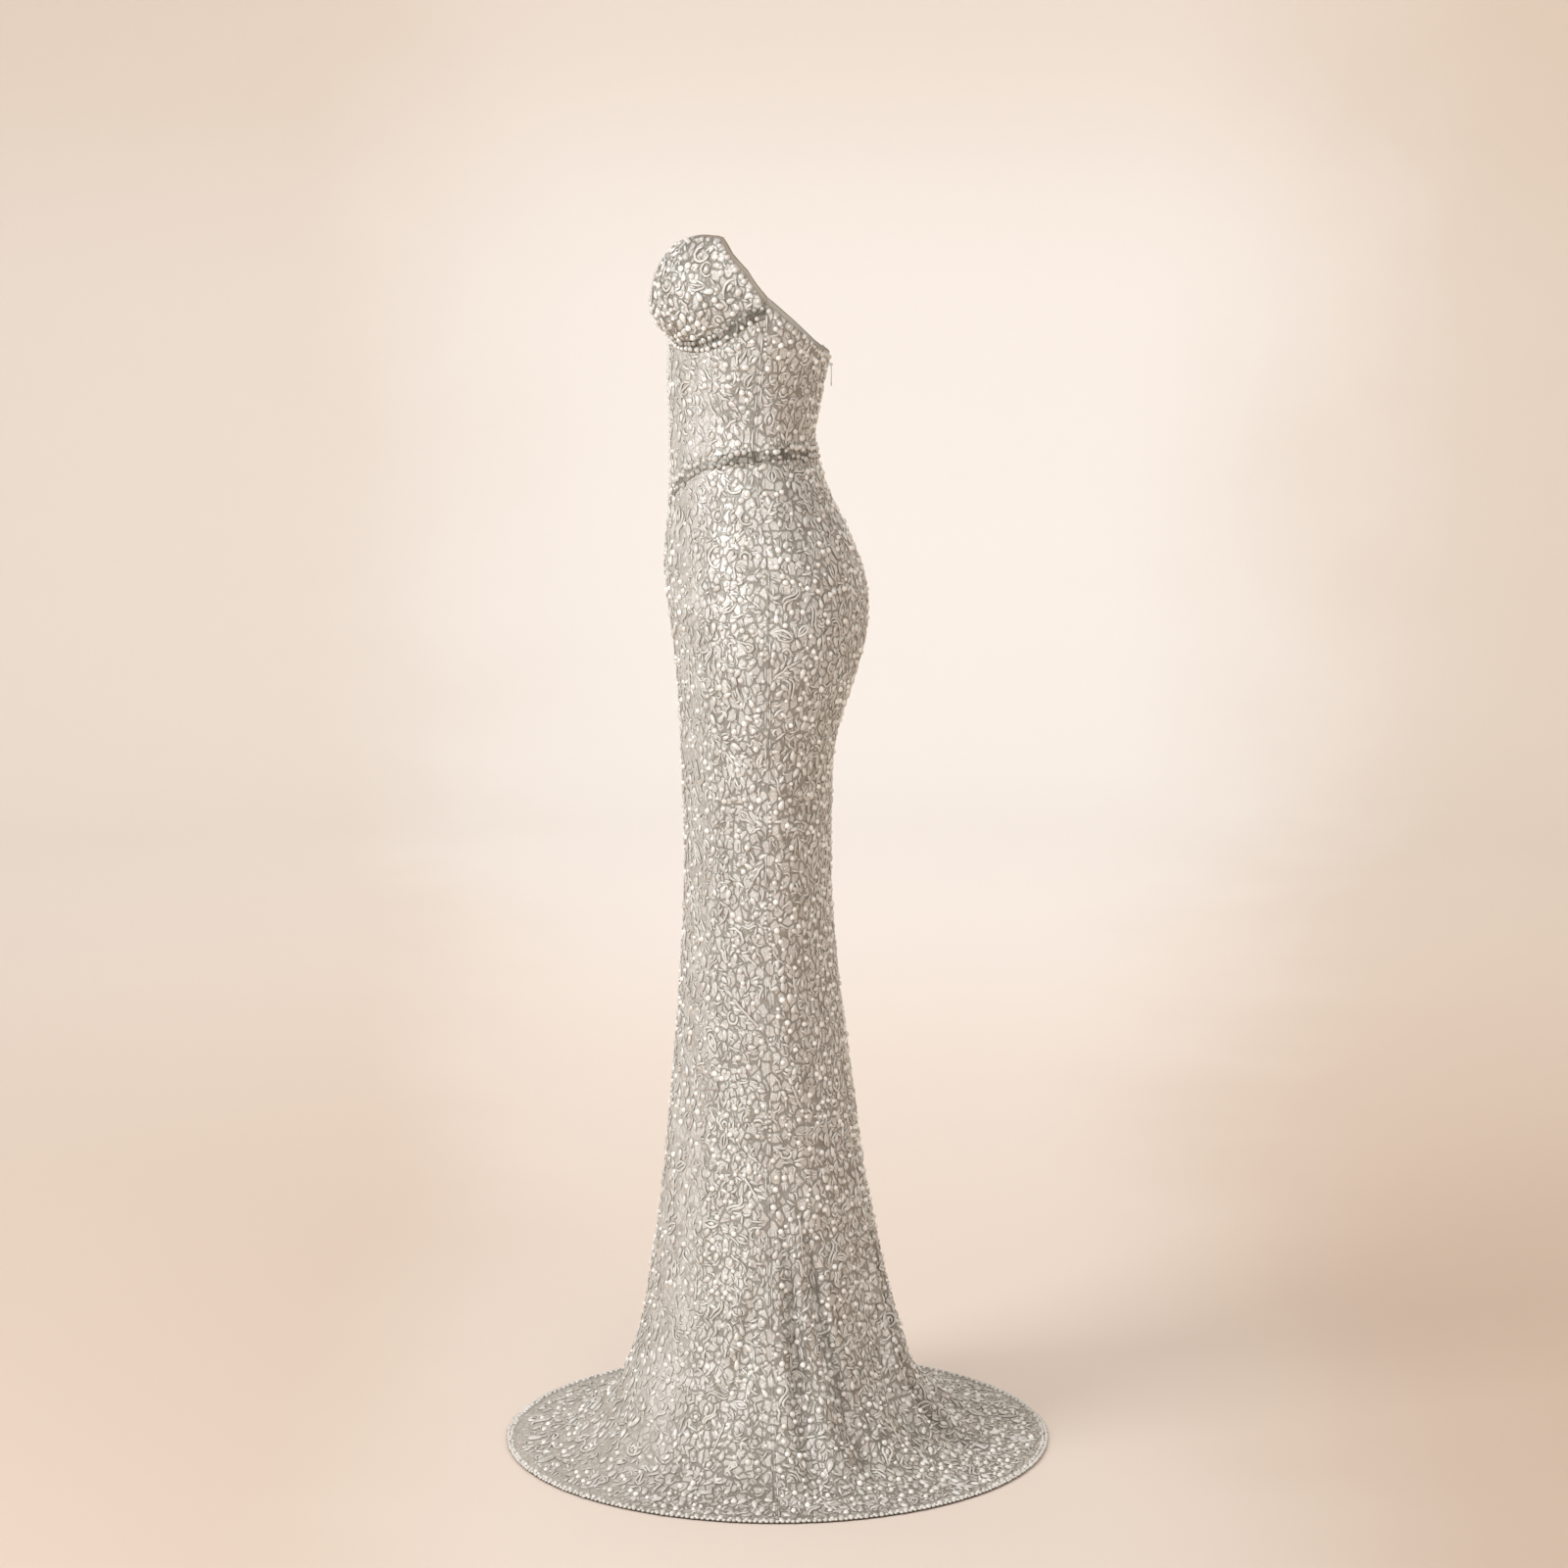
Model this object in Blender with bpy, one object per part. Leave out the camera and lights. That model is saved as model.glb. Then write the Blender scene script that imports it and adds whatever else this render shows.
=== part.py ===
"""Strapless evening gown with a fitted trumpet skirt, hollow and in its worn form.

Metres, +Z up. The gown faces -Y and its left side is +X. The origin is the centre of the waist, where the
figure holds the gown, WAIST_HEIGHT above the floor that the round hem lies on. Heights in the tables are
above that floor. A turn is the angle round the body in degrees: 0 is the centre front, 90 the left side,
180 the centre back and 270 the right side.
"""

import math

import bmesh
import bpy
import numpy as np
from mathutils import Matrix, Vector

WAIST_HEIGHT = 1.170
WALL = 0.0022  # beaded shell cloth
SEAM_GAP = 0.0003
TRIM_LIFT = 0.0004  # between a panel and what is sewn on it
COLUMNS_PER_QUARTER = 14

# The gown's horizontal sections, top to hem. Each is an oval: half its width, how far it reaches to the front
# and to the back of the waist centre, and how far behind the waist centre its widest line lies.
SECTION_COLUMNS = ("height", "half_width", "front", "back", "widest")
SECTIONS = np.array(
    (
        (1.4000, 0.128, 0.057, 0.11, 0.026),
        (1.3600, 0.137, 0.066, 0.111, 0.026),
        (1.3200, 0.139, 0.074, 0.108, 0.026),
        (1.2800, 0.133, 0.081, 0.101, 0.024),
        (1.2400, 0.124, 0.0835, 0.092, 0.02),
        (1.2000, 0.116, 0.082, 0.084, 0.016),
        (1.1700, 0.113, 0.0815, 0.08, 0.013),
        (1.1400, 0.1185, 0.0815, 0.085, 0.016),
        (1.1000, 0.132, 0.0825, 0.099, 0.02),
        (1.0600, 0.1455, 0.0875, 0.119, 0.024),
        (1.0150, 0.158, 0.089, 0.1355, 0.027),
        (0.9800, 0.165, 0.085, 0.1405, 0.028),
        (0.9400, 0.169, 0.079, 0.137, 0.028),
        (0.9000, 0.1675, 0.076, 0.126, 0.028),
        (0.8550, 0.1615, 0.0725, 0.1115, 0.028),
        (0.8100, 0.1545, 0.071, 0.1025, 0.028),
        (0.7400, 0.146, 0.0685, 0.099, 0.028),
        (0.6600, 0.14, 0.068, 0.099, 0.028),
        (0.5700, 0.137, 0.0725, 0.1055, 0.028),
        (0.4800, 0.139, 0.0785, 0.116, 0.028),
        (0.4000, 0.144, 0.0855, 0.1265, 0.028),
        (0.3300, 0.15, 0.092, 0.1355, 0.028),
        (0.2700, 0.156, 0.099, 0.146, 0.029),
        (0.2150, 0.164, 0.1075, 0.1555, 0.03),
        (0.1650, 0.173, 0.115, 0.166, 0.031),
        (0.1250, 0.182, 0.124, 0.1765, 0.032),
        (0.0930, 0.193, 0.135, 0.185, 0.033),
        (0.0650, 0.207, 0.148, 0.198, 0.034),
        (0.0400, 0.224, 0.165, 0.216, 0.035),
        (0.0200, 0.245, 0.188, 0.241, 0.036),
        (0.0080, 0.268, 0.218, 0.278, 0.037),
        (0.0022, 0.293, 0.255, 0.331, 0.038),
        (0.0022, 0.3145, 0.2765, 0.3525, 0.038),
    )
)
FIRST_SKIRT_SECTION = 9  # the first one that lies wholly below the waist seam

# Edges and seams: turn from the centre front, the same on both sides, and height.
CUP_TOP = (
    (0, 1.345),
    (7, 1.350),
    (18, 1.368),
    (33, 1.387),
    (47, 1.393),
    (56, 1.392),
    (63, 1.389),
    (71, 1.366),
    (80, 1.342),
    (90, 1.321),
)
UNDERBUST_SEAM = (
    (0, 1.286),
    (18, 1.279),
    (36, 1.275),
    (50, 1.276),
    (60, 1.282),
    (68, 1.291),
    (76, 1.302),
    (83, 1.309),
    (90, 1.312),
)
BACK_TOP = ((90, 1.321), (110, 1.299), (140, 1.273), (180, 1.262))
WAIST_SEAM = (
    (0, 1.092),
    (11, 1.103),
    (31, 1.122),
    (50, 1.139),
    (68, 1.147),
    (90, 1.151),
    (180, 1.151),
)
CUP_ROWS = 8
BODICE_ROWS = 7

# Each cup swells from the bodice's oval like a dome, from nothing at the underbust seam.
CUP_APEX_HEIGHT = 1.338
CUP_APEX_SIDE = 0.072
CUP_SWELL = 0.0400
CUP_SWELL_WAY = Vector((0.22, -1.0, 0.0)).normalized()
CUP_REACH_UP = 0.078
CUP_REACH_OUT = 44.0  # degrees from the apex to where the swell ends at the side
CUP_UNDERSIDE_POWER = 3.0  # larger is fuller below

# The lower skirt's folds: turn at the floor, height where it begins, how far it stands out (or in, if
# negative), half its width in degrees, and how many degrees it drifts on its way down.
FOLD_COLUMNS = ("turn", "start", "depth", "half_width", "drift")
FOLDS = np.array(
    (
        (35, 0.20, 0.004, 12, 2),
        (62, 0.24, 0.004, 11, -2),
        (93, 0.34, 0.004, 9, -2),
        (104, 0.36, -0.009, 6.5, 6),
        (113, 0.40, 0.007, 6.5, 9),
        (126, 0.44, -0.011, 7.5, 26),
        (139, 0.36, 0.004, 9, 10),
        (154, 0.44, 0.013, 9, 1),
        (163, 0.42, -0.014, 7, 1),
        (174, 0.38, 0.014, 9, -1),
        (189, 0.34, -0.010, 8, -2),
        (201, 0.42, 0.013, 10, -2),
        (213, 0.30, -0.006, 9, 0),
        (238, 0.30, 0.008, 9, -3),
        (248, 0.31, -0.009, 8, -1),
        (259, 0.28, 0.006, 9, 1),
        (288, 0.24, 0.005, 11, 2),
        (303, 0.22, -0.004, 9, 0),
        (325, 0.18, 0.004, 12, -1),
    )
)
HEM_FLAT = 0.021  # width of the hem's edge that lies flat on the floor all round
FOLD_FLOOR_FADE = 0.070  # width over which the folds die out before that
FOLD_GROWTH = 1.2  # larger starts a fold more slowly below its start

# Stones raised in the outer wall.
STONE_SIZE, STONE_TOP_SIZE = 0.011, 0.0065
STONE_HEIGHT = 0.0045
CUP_STONE_HEIGHT = 0.0042
CUP_STONE_TOP = 0.5  # width of a cup stone's top as a share of its foot
LEAST_STONE_FACE = 0.0070  # a shorter face carries no stone

# Pearl rows.
PEARL_WIDTH, PEARL_TOP_WIDTH, PEARL_HEIGHT = 0.0075, 0.0047, 0.0052
THREAD_WIDTH, THREAD_TOP_WIDTH, THREAD_HEIGHT = 0.0034, 0.0021, 0.0016
HEM_PEARLS = 140
HEM_PEARL_RADIUS = 0.3135
HEM_CENTRE_Y = 0.038
SEAM_TO_PEARLS = 0.0060
FRONT_STRIP_PEARLS = 16
FRONT_STRIP_END = 0.01  # how far the strip stops short of the seams above and below, as a share of its length
SEAM_PEARLS_FREE = 1  # columns that the seams' pearls leave free beside the front strip and the zip

# Concealed zip at the centre back.
ZIP_BOTTOM = 0.9400
ZIP_TAPE_HALF_WIDTH, ZIP_TAPE_THICK = 0.0085, 0.0010
SLIDER_BELOW_TOP = 0.012
SLIDER_PLATE = Vector((0.0076, 0.0018, 0.0095))
EAR_THICK, EAR_WIDE, EAR_HIGH, EAR_FOOT = 0.0012, 0.0030, 0.0041, 0.0006
PIVOT_OUT = 0.0027  # from the plate's outer face to the pull's axis
PIN_RADIUS, EYE_BORE_RADIUS, EYE_RADIUS = 0.0008, 0.00115, 0.0019
EYE_TO_TAB = 0.0003
PULL_EYE_WIDE, PULL_THICK = 0.0040, 0.0012
# The pull tab's outline from its eye down: half its width, and distance below the pin's axis.
PULL_OUTLINE = ((0.0018, EYE_BORE_RADIUS + EYE_TO_TAB), (0.0018, 0.0080), (0.0032, 0.0190), (0.0020, 0.0240))


def curve(table, at):
    """The table's second value at these first values, on a smooth curve through its rows."""
    x, y = np.array(table, float).T
    slope = np.gradient(y, x)
    at = np.clip(at, x[0], x[-1])
    left = np.clip(np.searchsorted(x, at) - 1, 0, len(x) - 2)
    width = x[left + 1] - x[left]
    s = (at - x[left]) / width
    return (
        y[left] * (1 + 2 * s) * (1 - s) ** 2
        + slope[left] * width * s * (1 - s) ** 2
        + y[left + 1] * s**2 * (3 - 2 * s)
        + slope[left + 1] * width * s**2 * (s - 1)
    )


def from_front(turns):
    """Degrees from the centre front to each turn, whichever side it lies on."""
    return 180 - np.abs(np.abs(turns) % 360 - 180)


def section_at(heights):
    """The oval at each height above the flat of the hem: half width, front, back and widest line."""
    rising = SECTIONS[:-1][::-1]
    return [curve(rising[:, (0, k)], heights) for k in range(1, len(SECTION_COLUMNS))]


def oval(turns, heights, section):
    """Points of the section's oval at these turns."""
    half_width, front, back, widest = section
    angle = np.radians(turns)
    reach = np.where(np.cos(angle) > 0, front + widest, back - widest)
    x = half_width * np.sin(angle)
    y = widest - reach * np.cos(angle)
    return np.stack(np.broadcast_arrays(x, y, heights - WAIST_HEIGHT), axis=-1)


def fold_offset(turns, heights, half_widths):
    """How far the skirt's folds stand out from its plain form at each point."""
    total = np.zeros(np.broadcast(turns, heights).shape)
    fade = np.clip((SECTIONS[-1, 1] - HEM_FLAT - half_widths) / FOLD_FLOOR_FADE, 0, 1)
    for row in FOLDS:
        fold = dict(zip(FOLD_COLUMNS, row))
        grown = np.clip(1 - heights / fold["start"], 0, 1)
        centre = fold["turn"] - fold["drift"] * (1 - grown)
        away = (turns - centre + 180) % 360 - 180
        across = np.cos(np.clip(away / fold["half_width"], -1, 1) * math.pi / 2) ** 2
        total += fold["depth"] * across * grown**FOLD_GROWTH
    return total * fade**2 * (3 - 2 * fade)


def normals(points, beside):
    """Outward unit normals of a grid of points, whose rows run down and whose columns run to the left side.
    beside holds the points a little before and after each one along its row."""
    along = beside[1] - beside[0]
    down = np.gradient(points, axis=0)
    out = np.cross(down, along)
    return out / np.linalg.norm(out, axis=-1, keepdims=True)


def grid(turns, form):
    """The form's outer points at these turns, with their normals."""
    step = 0.05
    points = form(turns)
    return points, normals(points, (form(turns - step), form(turns + step)))


def cup_form(turns):
    """The cup's outer points: rows from its top edge to the underbust seam."""
    away = from_front(turns)
    top, bottom = curve(CUP_TOP, away), curve(UNDERBUST_SEAM, away) + SEAM_GAP / 2
    share = np.linspace(0, 1, CUP_ROWS + 1)[:, None]
    heights = top + (bottom - top) * share
    points = oval(turns, heights, section_at(heights))
    side = np.where(np.sin(np.radians(turns)) < 0, -1.0, 1.0)
    apex_turn = math.degrees(math.asin(CUP_APEX_SIDE / section_at(np.array(CUP_APEX_HEIGHT))[0]))
    reach = np.where(away < apex_turn, apex_turn, CUP_REACH_OUT)
    sideways = 1 - np.clip(np.abs(away - apex_turn) / reach, 0, 1) ** 2
    rise = heights - CUP_APEX_HEIGHT
    upward = 1 - (np.clip(rise, 0, None) / CUP_REACH_UP) ** 2
    downward = 1 - np.clip(rise / (bottom - CUP_APEX_HEIGHT), 0, 1) ** CUP_UNDERSIDE_POWER
    swell = CUP_SWELL * sideways * upward * downward
    way = np.stack(np.broadcast_arrays(CUP_SWELL_WAY.x * side, CUP_SWELL_WAY.y, 0.0), axis=-1)
    return points + swell[..., None] * way


def bodice_form(turns, top_edge):
    """The bodice's outer points: rows from its top edge to the waist seam."""
    away = from_front(turns)
    top, bottom = curve(top_edge, away), curve(WAIST_SEAM, away) + SEAM_GAP / 2
    share = np.linspace(0, 1, BODICE_ROWS + 1)[:, None]
    heights = top + (bottom - top) * share
    return oval(turns, heights, section_at(heights))


def bodice_front_form(turns):
    points = bodice_form(turns, UNDERBUST_SEAM)
    points[0, :, 2] -= SEAM_GAP / 2
    return points


def bodice_back_form(turns):
    return bodice_form(turns, BACK_TOP)


def skirt_form(turns):
    """The skirt's outer points: the waist seam, then a row for each section down to the hem."""
    seam = curve(WAIST_SEAM, from_front(turns)) - SEAM_GAP / 2
    rows = [oval(turns, seam, section_at(seam))]
    for height, *section in SECTIONS[FIRST_SKIRT_SECTION:]:
        rows.append(oval(turns, height, section))
    plain = np.array(rows)
    heights = plain[..., 2] + WAIST_HEIGHT
    half_widths = np.r_[SECTIONS[FIRST_SKIRT_SECTION, 1], SECTIONS[FIRST_SKIRT_SECTION:, 1]]
    away = fold_offset(turns, heights, half_widths[:, None])
    around = plain - np.array((0.0, HEM_CENTRE_Y, 0.0))
    level = around * (1, 1, 0) / np.linalg.norm(around[..., :2], axis=-1, keepdims=True)
    down = np.gradient(plain, axis=0)
    slope = np.abs(down[..., 2]) / np.linalg.norm(down, axis=-1)
    lean = np.stack(
        (level[..., 0] * slope, level[..., 1] * slope, np.sqrt(1 - np.clip(slope, 0, 1) ** 2)), axis=-1
    )
    points = plain + away[..., None] * lean
    points[..., 2] = np.maximum(points[..., 2], WALL - WAIST_HEIGHT)
    return points


def material(name, colour, roughness, metallic):
    made = bpy.data.materials.new(name)
    made.use_nodes = True
    shader = made.node_tree.nodes["Principled BSDF"]
    shader.inputs["Base Color"].default_value = (*colour, 1)
    shader.inputs["Roughness"].default_value = roughness
    shader.inputs["Metallic"].default_value = metallic
    return made


def add_object(name, bm, look):
    bmesh.ops.recalc_face_normals(bm, faces=bm.faces)
    mesh = bpy.data.meshes.new(name)
    bm.to_mesh(mesh)
    bm.free()
    mesh.materials.append(material(name, *look))
    made = bpy.data.objects.new(name, mesh)
    bpy.context.scene.collection.objects.link(made)
    return made


def add_stone(bm, corners, normal):
    """A square-cut stone with a flat top standing out of the middle of a four-cornered face."""
    places = [corner.co for corner in corners]
    middle = sum(places, Vector()) / 4
    across = ((places[1] + places[2]) - (places[0] + places[3])).normalized()
    along = normal.cross(across).normalized()
    if along.dot(places[2] + places[3] - places[0] - places[1]) < 0:
        along.negate()
    signs = ((-1, -1), (1, -1), (1, 1), (-1, 1))
    rings = [corners]
    for half, rise in ((STONE_SIZE / 2, 0.0), (STONE_TOP_SIZE / 2, STONE_HEIGHT)):
        centre = middle + normal * rise
        rings.append([bm.verts.new(centre + half * (across * a + along * b)) for a, b in signs])
    join_rings(bm, rings)
    bm.faces.new(rings[-1])


def add_facet(bm, corners, normal):
    """The whole face drawn up to a small raised top, for stones that lie close together."""
    places = [corner.co for corner in corners]
    middle = sum(places, Vector()) / 4
    lift = normal * CUP_STONE_HEIGHT
    top = [bm.verts.new(middle + (place - middle) * CUP_STONE_TOP + lift) for place in places]
    join_rings(bm, [corners, top])
    bm.faces.new(top)


def join_rings(bm, rings):
    """Quads between each ring of points and the next."""
    for first, second in zip(rings, rings[1:]):
        for k in range(len(first)):
            after = (k + 1) % len(first)
            bm.faces.new((first[k], first[after], second[after], second[k]))


def wall(name, outer, out, look, stone_every=0, close_stones=False):
    """A closed cloth wall under a grid of outer points, with stones raised in its outer face."""
    outer, out = outer.copy(), out.copy()
    inner = outer - out * WALL
    inner[..., 2] = np.maximum(inner[..., 2], -WAIST_HEIGHT)
    for points in (outer, inner):
        along = points[:, 1] - points[:, 0]
        points[:, 0] += along / np.linalg.norm(along, axis=-1, keepdims=True) * SEAM_GAP / 2
        along = points[:, -1] - points[:, -2]
        points[:, -1] -= along / np.linalg.norm(along, axis=-1, keepdims=True) * SEAM_GAP / 2
    bm = bmesh.new()
    front = [[bm.verts.new(place) for place in row] for row in outer]
    back = [[bm.verts.new(place) for place in row] for row in inner]
    rows, columns = len(outer) - 1, len(outer[0]) - 1
    for r in range(rows):
        for c in range(columns):
            corners = [front[r][c], front[r][c + 1], front[r + 1][c + 1], front[r + 1][c]]
            bm.faces.new((back[r][c], back[r + 1][c], back[r + 1][c + 1], back[r][c + 1]))
            inside = 0 < r < rows - 1 and 0 < c < columns - 1
            roomy = (corners[0].co - corners[3].co).length > LEAST_STONE_FACE
            if not (stone_every and inside and roomy and (3 * r + c) % stone_every == 0):
                bm.faces.new(corners)
                continue
            normal = Vector(out[r : r + 2, c : c + 2].sum(axis=(0, 1))).normalized()
            if close_stones:
                add_facet(bm, corners, normal)
            else:
                add_stone(bm, corners, normal)
    for r in range(rows):
        bm.faces.new((front[r][0], front[r + 1][0], back[r + 1][0], back[r][0]))
        bm.faces.new((front[r][-1], back[r][-1], back[r + 1][-1], front[r + 1][-1]))
    for c in range(columns):
        bm.faces.new((front[0][c], back[0][c], back[0][c + 1], front[0][c + 1]))
        bm.faces.new((front[-1][c], front[-1][c + 1], back[-1][c + 1], back[-1][c]))
    return add_object(name, bm, look)


def pearl_row(name, places, across, out, look, closed=False):
    """A row of pearls on their thread along these places, which lie on the cloth, one pearl between each two.
    across and out are unit vectors over the row and away from the cloth at each place."""
    bm = bmesh.new()
    rings = []

    def ring(place, over, up, width, top_width, height):
        low, high = place + up * TRIM_LIFT, place + up * (TRIM_LIFT + height)
        half, narrow = over * width / 2, over * top_width / 2
        rings.append([bm.verts.new(p) for p in (low - half, low + half, high + narrow, high - narrow)])

    count = len(places)
    for k in range(count):
        ring(places[k], across[k], out[k], THREAD_WIDTH, THREAD_TOP_WIDTH, THREAD_HEIGHT)
        if k + 1 < count or closed:
            after = (k + 1) % count
            over = (across[k] + across[after]).normalized()
            up = (out[k] + out[after]).normalized()
            middle = (places[k] + places[after]) / 2
            ring(middle, over, up, PEARL_WIDTH, PEARL_TOP_WIDTH, PEARL_HEIGHT)
    join_rings(bm, rings + rings[:1] if closed else rings)
    if not closed:
        bm.faces.new(rings[0])
        bm.faces.new(rings[-1][::-1])
    return add_object(name, bm, look)


def seam_pearls(name, panels, row, step, look):
    """Pearls beside the seam at one edge row of these panels, which follow each other round the body."""
    places, across, out = [], [], []
    for points, normal in panels:
        edge, inward = points[row], points[row + step]
        over = inward - edge
        over = over / np.linalg.norm(over, axis=-1, keepdims=True)
        places += [Vector(p) for p in edge + over * SEAM_TO_PEARLS]
        across += [Vector(p) for p in over]
        out += [Vector(p) for p in normal[row] + normal[row + step]]
    merged = [k for k in range(len(places)) if not k or (places[k] - places[k - 1]).length > 0.001]
    out = [out[k].normalized() for k in merged]
    return pearl_row(name, [places[k] for k in merged], [across[k] for k in merged], out, look)


def mirrored(points):
    return points * (-1, 1, 1)


def left_turns(first, last):
    """Evenly spaced turns from the first to the last, a quarter of the body having COLUMNS_PER_QUARTER."""
    count = round(abs(last - first) / 90 * COLUMNS_PER_QUARTER)
    return np.linspace(first, last, count + 1)


def build_bodice(cloth, cup_cloth):
    """The cups and the four bodice panels. It returns the left front's and left back's grids."""
    cup, cup_out = grid(left_turns(0, 90), cup_form)
    front, front_out = grid(left_turns(0, 90), bodice_front_form)
    back, back_out = grid(left_turns(90, 180), bodice_back_form)
    for side, flip in (("left", lambda p: p), ("right", mirrored)):
        wall(f"cup_{side}", flip(cup), flip(cup_out), cup_cloth, stone_every=2, close_stones=True)
        wall(f"bodice_front_{side}", flip(front), flip(front_out), cloth, stone_every=5)
        wall(f"bodice_back_{side}", flip(back), flip(back_out), cloth, stone_every=5)
    return (front, front_out), (back, back_out)


def build_skirt(cloth):
    """The skirt's front panel and its two back panels. It returns the left back's grid."""
    front, front_out = grid(left_turns(-90, 90), skirt_form)
    back, back_out = grid(left_turns(90, 180), skirt_form)
    right, right_out = grid(left_turns(180, 270), skirt_form)
    wall("skirt_front", front, front_out, cloth, stone_every=8)
    wall("skirt_back_left", back, back_out, cloth, stone_every=8)
    wall("skirt_back_right", right, right_out, cloth, stone_every=8)
    return back, back_out


def build_seam_pearls(front, back, look):
    """Pearls under each cup and along the waist seam, clear of the centre-front strip and the zip."""
    free = SEAM_PEARLS_FREE
    for side, flip in (("left", lambda p: p), ("right", mirrored)):
        below_cup = [(flip(front[0][:, free:]), flip(front[1][:, free:]))]
        seam_pearls(f"underbust_pearls_{side}", below_cup, 0, 1, look)
        waist = below_cup + [(flip(back[0][:, :-free]), flip(back[1][:, :-free]))]
        seam_pearls(f"waist_pearls_{side}", waist, -1, -1, look)


def build_front_strip(front, look):
    """The bead strip that runs down the centre-front seam, from the underbust to the waist point."""
    column, out = front[0][:, 0], front[1][:, 0]
    share = np.linspace(FRONT_STRIP_END, 1 - FRONT_STRIP_END, FRONT_STRIP_PEARLS + 1) * BODICE_ROWS
    places, ups = [], []
    for s in share:
        r = min(int(s), BODICE_ROWS - 1)
        places.append(Vector(column[r] * (r + 1 - s) + column[r + 1] * (s - r)))
        up = Vector(out[r] + out[r + 1]).normalized()
        ups.append(up)
    lifted = [place + up * TRIM_LIFT for place, up in zip(places, ups)]
    pearl_row("front_bead_strip", lifted, [Vector((1, 0, 0))] * len(lifted), ups, look)


def build_hem_pearls(look):
    places, across = [], []
    for k in range(HEM_PEARLS):
        angle = 2 * math.pi * k / HEM_PEARLS
        outward = Vector((math.sin(angle), -math.cos(angle), 0))
        centre = Vector((0, HEM_CENTRE_Y, WALL - WAIST_HEIGHT))
        places.append(centre + outward * HEM_PEARL_RADIUS)
        across.append(outward)
    pearl_row("hem_pearls", places, across, [Vector((0, 0, 1))] * HEM_PEARLS, look, closed=True)


def build_zip_tape(bodice, skirt, look):
    """The tape behind the centre-back seam, made from the two walls' inner points, moved in."""
    lines = []
    for points, out in (bodice, skirt):
        inner = points - out * (WALL + TRIM_LIFT)
        for row, normal in zip(inner, out):
            centre, beside = row[-1], row[-2]
            share = ZIP_TAPE_HALF_WIDTH / abs(beside[0] - centre[0])
            if centre[2] + WAIST_HEIGHT < ZIP_BOTTOM:
                break
            lines.append((centre, centre + (beside - centre) * share, normal[-1]))
    bm = bmesh.new()
    rings = []
    for centre, edge, normal in lines:
        outer = [edge, np.array((0.0, centre[1], centre[2])), edge * (-1, 1, 1)]
        inner = [p - normal * ZIP_TAPE_THICK for p in outer]
        rings.append([bm.verts.new(p) for p in outer + inner[::-1]])
    join_rings(bm, rings)
    bm.faces.new(rings[0])
    bm.faces.new(rings[-1][::-1])
    return add_object("zip_tape", bm, look)


def add_box(bm, centre, size, turn):
    """A box in a frame that is turned about the X axis."""
    made = bmesh.ops.create_cube(bm, size=1)
    place = Matrix.Translation(centre) @ turn @ Matrix.Diagonal((*size, 1))
    bmesh.ops.transform(bm, matrix=place, verts=made["verts"])


def rod(name, centre, radius, length, sides=12):
    """A helper cylinder along X."""
    bm = bmesh.new()
    turn = Matrix.Rotation(math.pi / 2, 4, "Y")
    made = bmesh.ops.create_cone(
        bm, cap_ends=True, segments=sides, radius1=radius, radius2=radius, depth=length
    )
    bmesh.ops.transform(bm, matrix=Matrix.Translation(centre) @ turn, verts=made["verts"])
    return helper(name, bm)


def helper(name, bm):
    """A hidden object for a Boolean."""
    bmesh.ops.recalc_face_normals(bm, faces=bm.faces)
    mesh = bpy.data.meshes.new(name)
    bm.to_mesh(mesh)
    bm.free()
    made = bpy.data.objects.new(name, mesh)
    bpy.context.scene.collection.objects.link(made)
    made.hide_render = True
    made.display_type = "WIRE"
    return made


def combine(target, operation, other):
    change = target.modifiers.new(f"{operation}_{other.name}", "BOOLEAN")
    change.operation = operation
    change.object = other
    change.solver = "EXACT"


def build_zip_slider(bodice, look):
    """The slider at the top of the closed zip. It returns the pull's pivot."""
    points, out = bodice
    rows = points[:, -1]
    upward = Vector(rows[0] - rows[1]).normalized()
    normal = Vector(out[0, -1] + out[1, -1]).normalized()
    normal = (normal - upward * normal.dot(upward)).normalized()
    turn = Matrix.Rotation(math.atan2(-upward.y, upward.z), 4, "X")
    foot = Vector(rows[0]) - upward * SLIDER_BELOW_TOP
    foot.x = 0
    clear = TRIM_LIFT
    plate_middle = foot + normal * (clear + SLIDER_PLATE.y / 2)
    pivot = foot + normal * (clear + SLIDER_PLATE.y + PIVOT_OUT)
    bm = bmesh.new()
    add_box(bm, plate_middle, SLIDER_PLATE, turn)
    slider = add_object("zip_slider", bm, look)
    for side in (-1, 1):
        ear = bmesh.new()
        offset = Vector((side * (SLIDER_PLATE.x - EAR_THICK) / 2, 0, 0))
        middle = foot + normal * (clear + SLIDER_PLATE.y + (EAR_HIGH - EAR_FOOT) / 2) + offset
        add_box(ear, middle, Vector((EAR_THICK, EAR_HIGH + EAR_FOOT, EAR_WIDE)), turn)
        combine(slider, "UNION", helper(f"ear_{side}", ear))
    combine(slider, "UNION", rod("pin", pivot, PIN_RADIUS, SLIDER_PLATE.x - EAR_THICK))
    return pivot


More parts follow.
